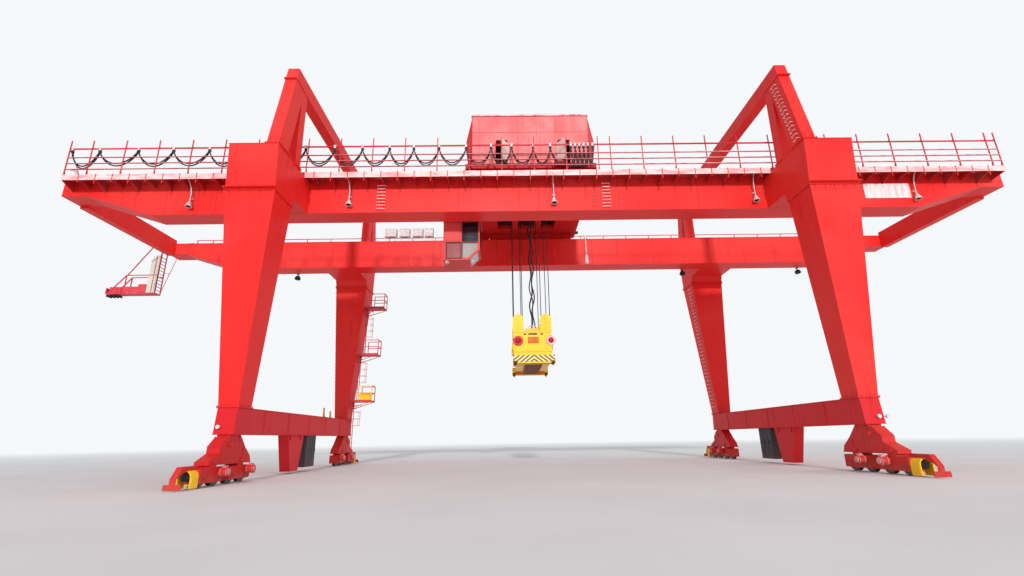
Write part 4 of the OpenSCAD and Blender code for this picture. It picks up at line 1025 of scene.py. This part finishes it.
# The driver's cab hangs below the trolley with dark toughened glass in rubber-edged frames, a raked
# front to see down through, a seat with a console inside, and a grey sun visor above the side pane.
cab_red = painted("cab_red", colour(214, 40, 42), colour(226, 90, 88), colour(120, 20, 24), streaks=0.3)
coat(cab_red, "cab_shell")
glass = Finish("cab_glass")
haze = glass.noise(0.5, 3.0)
# Lower panes: light grey on the right; on the left a reddish tint, a painted reflection of red.
lower_panes_and_reflection = glass.mix(glass.step(glass.along("X"), -2.38, -2.36), colour(170, 96, 96), colour(168, 168, 162))
high_pane = glass.mix(glass.step(haze, 0.4, 0.7), colour(12, 14, 20), colour(26, 34, 46))
cab_glass = glass.done(glass.mix(glass.step(glass.along("Z"), 6.72, 6.74), lower_panes_and_reflection, high_pane),
                       glass.step(haze, 0.3, 0.7, 0.04, 0.10), glass.bump(haze, 0.0004, 0.2),
                       Alpha=0.86, Coat_Weight=0.5)
coat(cab_glass, "cab_glass")
CAB_END, CAB_FRONT, CAB_BACK, CAB_TOP, EDGING = -1.810, -1.900, -1.000, 7.480, 0.025
trim = []
for y in (CAB_FRONT - 0.010, CAB_BACK):
    strips = [(-2.36, -1.86, 6.705, 6.725), (-2.36, -2.34, 6.20, 6.71)]
    for x0, x1, z0, z1 in ((-2.34, -1.88, 6.77, 7.40), (-2.83, -2.40, 6.22, 6.71)):
        strips += [(x0 - EDGING, x1 + EDGING, z0 - EDGING, z0), (x0 - EDGING, x1 + EDGING, z1, z1 + EDGING),
                   (x0 - EDGING, x0, z0, z1), (x1, x1 + EDGING, z0, z1)]
    trim += [bar((x0, y, z0), (x1, y + 0.010, z1)) for x0, x1, z0, z1 in strips]
trim += [bar((CAB_END, CAB_FRONT + 0.04, z), (CAB_END + 0.010, CAB_BACK - 0.04, z + 0.02))
         for z in (6.75, 7.40)]
trim += [bar((CAB_END, y, 6.76), (CAB_END + 0.010, y + 0.02, 7.42))
         for y in (CAB_FRONT + 0.04, -1.46, CAB_BACK - 0.06)]
trim.append(rod((CAB_END + 0.02, -1.66, 6.80), (CAB_END + 0.02, -1.50, 7.18), 0.010, 6))
settle("cab_window_frames", black_rubber, "trolley", trim)
STAY_X, STAY_Y = (-2.66, -2.12), (-1.84, -1.06)
visor = [bar((-2.975, CAB_FRONT - 0.02, CAB_TOP), (-1.775, CAB_BACK + 0.02, CAB_TOP + 0.03), 0.008),
         bar((-2.93, CAB_FRONT - 0.018, 6.740), (-2.38, CAB_FRONT - 0.002, 7.46), 0.004),
         bar((-2.90, CAB_FRONT - 0.028, 6.78), (-2.42, CAB_FRONT - 0.018, 7.42), 0.004),
         *[rod((x, y, CAB_TOP + 0.03), (x, y, 8.76), 0.024, 8) for x in STAY_X for y in STAY_Y],
         rod((STAY_X[0], STAY_Y[0], 7.60), (STAY_X[1], STAY_Y[0], 8.60), 0.016, 6),
         rod((STAY_X[0], STAY_Y[1], 8.60), (STAY_X[1], STAY_Y[1], 7.60), 0.016, 6)]
settle("cab_roof_and_stays", cab_red, "trolley", visor)
seat = [bar((-2.62, -1.62, 6.56), (-2.22, -1.28, 6.66), 0.03),
        bar((-2.66, -1.62, 6.66), (-2.57, -1.28, 7.12), 0.03),
        bar((-2.50, -1.50, 6.20), (-2.34, -1.40, 6.56), 0.01),
        bar((-2.50, -1.78, 6.60), (-2.10, -1.66, 6.80), 0.012),
        bar((-2.50, -1.24, 6.60), (-2.10, -1.12, 6.80), 0.012),
        *[rod((-2.16, y, 6.80), (-2.16, y, 6.90), 0.02, 8) for y in (-1.72, -1.18)]]
settle("driver_seat", black_coat, "trolley", seat)
WORK_LAMP = [(0, 0.04), (0.03, 0.05), (0.08, 0.07), (0.10, 0.07), (0.10, 0.055), (0.085, 0.05)]
work_light = [turned(WORK_LAMP, 16, (0.5, -0.3, -1), (x, y, 6.17))
              for x, y in ((-2.85, -1.80), (-2.05, -1.78))]
settle("cab_work_lights", lamp_body, "trolley", work_light)

# Eight falls of wire rope run from the drums to the headblock's sheaves, and the spreader's power
# cable hangs between them into its basket.
rope = Finish("rope_steel")
lay = (rope.along("Z") * 14.0 + rope.along("X") * 60.0 + rope.along("Y") * 60.0).fraction()
strand_line = rope.step(abs(lay - 0.5), 0.2, 0.45)
rope_steel = rope.done(rope.mix(strand_line, colour(52, 50, 56), colour(24, 24, 30)), 0.5,
                       rope.bump(strand_line, 0.002, 0.6), Metallic=0.5)
TOP, SHEAVE_Z, SHEAVE_X, SHEAVE_Y, ROPE_OUT = 8.77, 4.517, 0.44, 0.70, 0.1393
rope_spots = [(TROLLEY_X + x + side * ROPE_OUT, y)
              for x in (-SHEAVE_X, SHEAVE_X) for y in (-SHEAVE_Y, SHEAVE_Y) for side in (-1, 1)]
falls = [turned([(SHEAVE_Z + 0.177 * k, 0.013) for k in range(25)], 8, foot=(*spot, 0))
         for spot in rope_spots]
ropes = settle("hoist_rope_falls", rope_steel, "trolley", falls, 60)
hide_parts("hoist_ropes")
ropes.parent = None
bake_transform(ropes)
leads = [rod((*spot, TOP), (*spot, 9.34), 0.026, 8) for spot in rope_spots]
settle("rope_leads", rope_steel, "trolley", leads)
heights = [4.16 + 0.095 * n for n in range(49)]
bundle = []
for k, width in enumerate((0.050, 0.044, 0.040)):
    turn = 2 * pi * k / 3
    bundle.append(cable([(TROLLEY_X + 0.06 + 0.055 * sin(turn + 2.2 * z) + 0.03 * sin(7.0 * z + k),
                          0.055 * cos(turn + 2.2 * z), z) for z in heights], width, 2))
power = settle("spreader_cable", cable_black, "trolley", bundle, 60)
power.parent = None
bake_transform(power)

# The headblock is a yellow box of plate with a sheave tower at each corner. Its faces carry a row of
# black bars for slots, their black painted shade, an orange latch cover, and a red and a worn pale rope
# socket. A lifting bow spans each end.
spread_yellow = painted("spreader_yellow", colour(250, 206, 36), colour(252, 216, 84), colour(176, 112, 20),
                        streaks=0.5, gloss=0.4)
coat(spread_yellow, "headblock", "spreader_beam", "spreader_ends")
BLOCK_X0, BLOCK_X1, BLOCK_Y, BLOCK_TOP = -0.80, 0.40, 0.9, 4.112
block = []
for side in (-1, 1):
    for x0, x1, z0, z1 in ((BLOCK_X0, BLOCK_X1, 4.06, BLOCK_TOP), (BLOCK_X0, -0.76, 3.60, 4.06),
                           (0.36, BLOCK_X1, 3.60, 4.06), (BLOCK_X0, BLOCK_X1, 3.45, 3.475)):
        block.append(bar((x0, side * BLOCK_Y, z0), (x1, side * (BLOCK_Y + 0.016), z1), 0.003))
    tower_y = side * SHEAVE_Y
    web = [(side * 0.76, BLOCK_TOP), (side * 0.86, BLOCK_TOP), (side * 0.76, 4.36)]
    for x in (TROLLEY_X - SHEAVE_X, TROLLEY_X + SHEAVE_X):
        for y in (tower_y - 0.066, tower_y + 0.060):
            block += [turned([(0, 0.13), (0.006, 0.125)], 24, (0, 1, 0), (x, y, SHEAVE_Z)),
                      bolt_head(0.045, 0.020, (0, 1, 0), (x, y - 0.006, SHEAVE_Z))]
        block += [bar((x - 0.17, tower_y - 0.07, BLOCK_TOP), (x + 0.17, tower_y + 0.07, 4.135), 0.003),
                  cutout(web, x - 0.008, x + 0.008, "x")]
block += [bar((x, -BLOCK_Y, z), (x + 0.01, BLOCK_Y, z + 0.03), 0.001)
          for x in (-0.80, 0.39) for z in (3.95, 3.40)]
settle("headblock_edges", spread_yellow, "spreader", block)

SOCKET_CUP = [(0, 0.155), (0.03, 0.155), (0.05, 0.14), (0.05, 0.095), (0.035, 0.09)]
slot_shades, covers, sockets, worn_sockets, hubs = [], [], [], [], []
for side in (-1, 1):
    face = side * BLOCK_Y
    # The slots are black bars on the faces; their black is painted shade.
    slot_shades += [bar((x0, face - side * 0.002, 3.985), (x1, face + side * 0.008, 4.035), 0.004)
              for x0, x1 in ((-0.475, -0.405), (-0.335, -0.055), (0.055, 0.125))]
    covers.append(bar((-0.345, face, 3.72), (-0.005, face + side * 0.03, 3.915), 0.012))
    covers += [bar((-0.325, face + side * 0.028, z), (-0.025, face + side * 0.036, z + 0.018), 0.004)
               for z in [3.745 + 0.043 * k for k in range(4)]]
    for x, cups in ((-0.655, sockets), (0.375, worn_sockets)):
        cups.append(turned(SOCKET_CUP, 28, (0, side, 0), (x, face, 3.80)))
        hubs.append(turned([(0.030, 0.088), (0.06, 0.08), (0.075, 0.05)], 20, (0, side, 0), (x, face, 3.80)))
settle("headblock_slot_shades", black_coat, "spreader", slot_shades)
# Orange paint for the latch covers; on the end beam's bars below, the same orange is painted shade.
orange_and_shade = painted("orange_coat_and_painted_shade", colour(216, 112, 16), colour(222, 128, 40), colour(120, 56, 10), streaks=0.6)
settle("latch_covers", orange_and_shade, "spreader", covers)
settle("rope_sockets", rail_red, "spreader", sockets)
settle("worn_rope_sockets", pale_rail, "spreader", worn_sockets)
dull_red = painted("dull_red", colour(176, 24, 34), colour(196, 50, 60), colour(90, 10, 16))
settle("rope_socket_hubs", dull_red, "spreader", hubs)
hoop = [(TROLLEY_X + 0.17 * cos(pi * k / 12), 4.135 + 0.17 * sin(pi * k / 12)) for k in range(13)]
bow = [cable([(x, y, z) for x, z in hoop], 0.028, 2) for y in (-0.80, 0.80)]
bow += [bar((TROLLEY_X - 0.22, y - 0.03, BLOCK_TOP), (TROLLEY_X + 0.22, y + 0.03, 4.13), 0.003)
        for y in (-0.80, 0.80)]
settle("lifting_bows", pale_rail, "spreader", bow)

# The end beams wear black and yellow guard plates above and cast corner fittings with oval holes.
# Beige pads beside the pocket are painted light from the ground below. An orange bar below and the
# dark brown of the fittings and of the pocket's plates are painted shade on the yellow steel.
chevron = Finish("guard_stripes")
from_middle = abs(chevron.along("X") - TROLLEY_X)
stripe = ((chevron.along("Z") + from_middle * 0.80) / 0.118).fraction()
dark_band = chevron.step(abs(stripe - 0.5), 0.25, 0.235)
chipped = chevron.step(chevron.noise(0.03, 4.0), 0.62, 0.70)
band = chevron.mix(dark_band, colour(248, 214, 96), colour(40, 32, 18))
guard_stripes = chevron.done(chevron.mix(chipped * 0.6, band, colour(150, 96, 40)),
                             chevron.step(chipped, 0.0, 1.0, 0.4, 0.7), chevron.bump(chipped, -0.001, 0.6))
END, LOW = 1.545, 3.010
plates, lit_pads, lower, castings, pocket = [], [], [], [], []
for side in (-1, 1):
    plates.append(bar((-0.818, side * END, 3.048), (0.418, side * (END + 0.010), 3.246)))
    lower.append(bar((-0.70, side * 1.245, LOW + 0.004), (0.30, side * 1.233, LOW + 0.110), 0.004))
    for x0, x1 in ((-0.822, -0.700), (0.300, 0.422)):
        middle = (x0 + x1) / 2
        castings += [
            bar((x0, side * (END + 0.012), LOW - 0.006), (x1, side * 1.40, LOW + 0.075), 0.006),
            bar((x0 + 0.004, side * 1.39, LOW - 0.004), (x1 - 0.004, side * 1.24, LOW + 0.060), 0.005),
            turned([(0, 0.026), (0.006, 0.034), (0.008, 0.022)], 16, (0, side, 0),
                   (middle, side * (END + 0.010), LOW + 0.036)),
            turned([(0, 0.030), (0.030, 0.030), (0.055, 0.016), (0.062, 0.010)], 14, (0, 0, -1),
                   (middle, side * 1.46, LOW - 0.004))]
    pocket += [bar((x, side * 1.29, LOW + 0.012), (x + 0.014, side * 1.50, LOW + 0.119), 0.001)
               for x in [-0.60 + 0.14 * k for k in range(6)]]
for x0, x1 in ((-0.72, -0.49), (0.09, 0.32)):
    lit_pads += [bar((x0 + 0.012, -0.77, 3.066), (x1 - 0.012, 0.77, 3.080), 0.003),
             bar((x0 + 0.06, -0.60, 3.056), (x1 - 0.06, 0.60, 3.068), 0.003),
             *[bolt_head(0.016, 0.010, (0, 0, -1), ((x0 + x1) / 2, y, 3.058))
               for y in (-0.70, -0.35, 0.0, 0.35, 0.70)]]
settle("guard_plates", guard_stripes, "spreader", plates)
# The beige of these pads is painted light from the ground on the spreader's underside.
ground_lit_beige = painted("painted_ground_light_coat", colour(246, 206, 130), colour(250, 222, 170), colour(170, 110, 60),
                    streaks=0.5)
settle("ground_lit_pads", ground_lit_beige, "spreader", lit_pads)
# The orange of these bars is painted shade on the yellow end beam's inner face.
settle("end_beam_bars", orange_and_shade, "spreader", lower)
# The dark brown of the corner fittings and the pocket's plates is painted shade.
shade_brown = painted("painted_shade_brown", colour(112, 52, 22), colour(150, 84, 44), colour(60, 26, 14), gloss=0.55)
settle("corner_castings", shade_brown, "spreader", castings)
pocket += [bar((-0.46, y - 0.008, LOW + 0.008), (0.06, y + 0.008, LOW + 0.022), 0.001)
           for y in (-1.05, -0.75, -0.45, -0.15, 0.15, 0.45, 0.75, 1.05)]
pocket.append(bar((-0.47, -1.235, LOW + 0.012), (0.07, 1.235, LOW + 0.021), 0.001))
settle("underside_plates", shade_brown, "spreader", pocket)

beam_parts = [bar((x, y - 0.006, 3.04), (x + 0.008, y + 0.006, 3.24), 0.001)
              for x in (-0.488, 0.080) for y in (-1.1, -0.95, 0.95, 1.1)]
beam_parts += [cable([(x, -1.2, 3.12), (bend, -0.9, 3.08), (bend, 0.9, 3.08), (x, 1.2, 3.12)], width, 2)
               for x, bend, width in ((0.13, 0.14, 0.03), (-0.53, -0.54, 0.024))]
settle("spreader_beam_ribs", spread_yellow, "spreader", beam_parts)
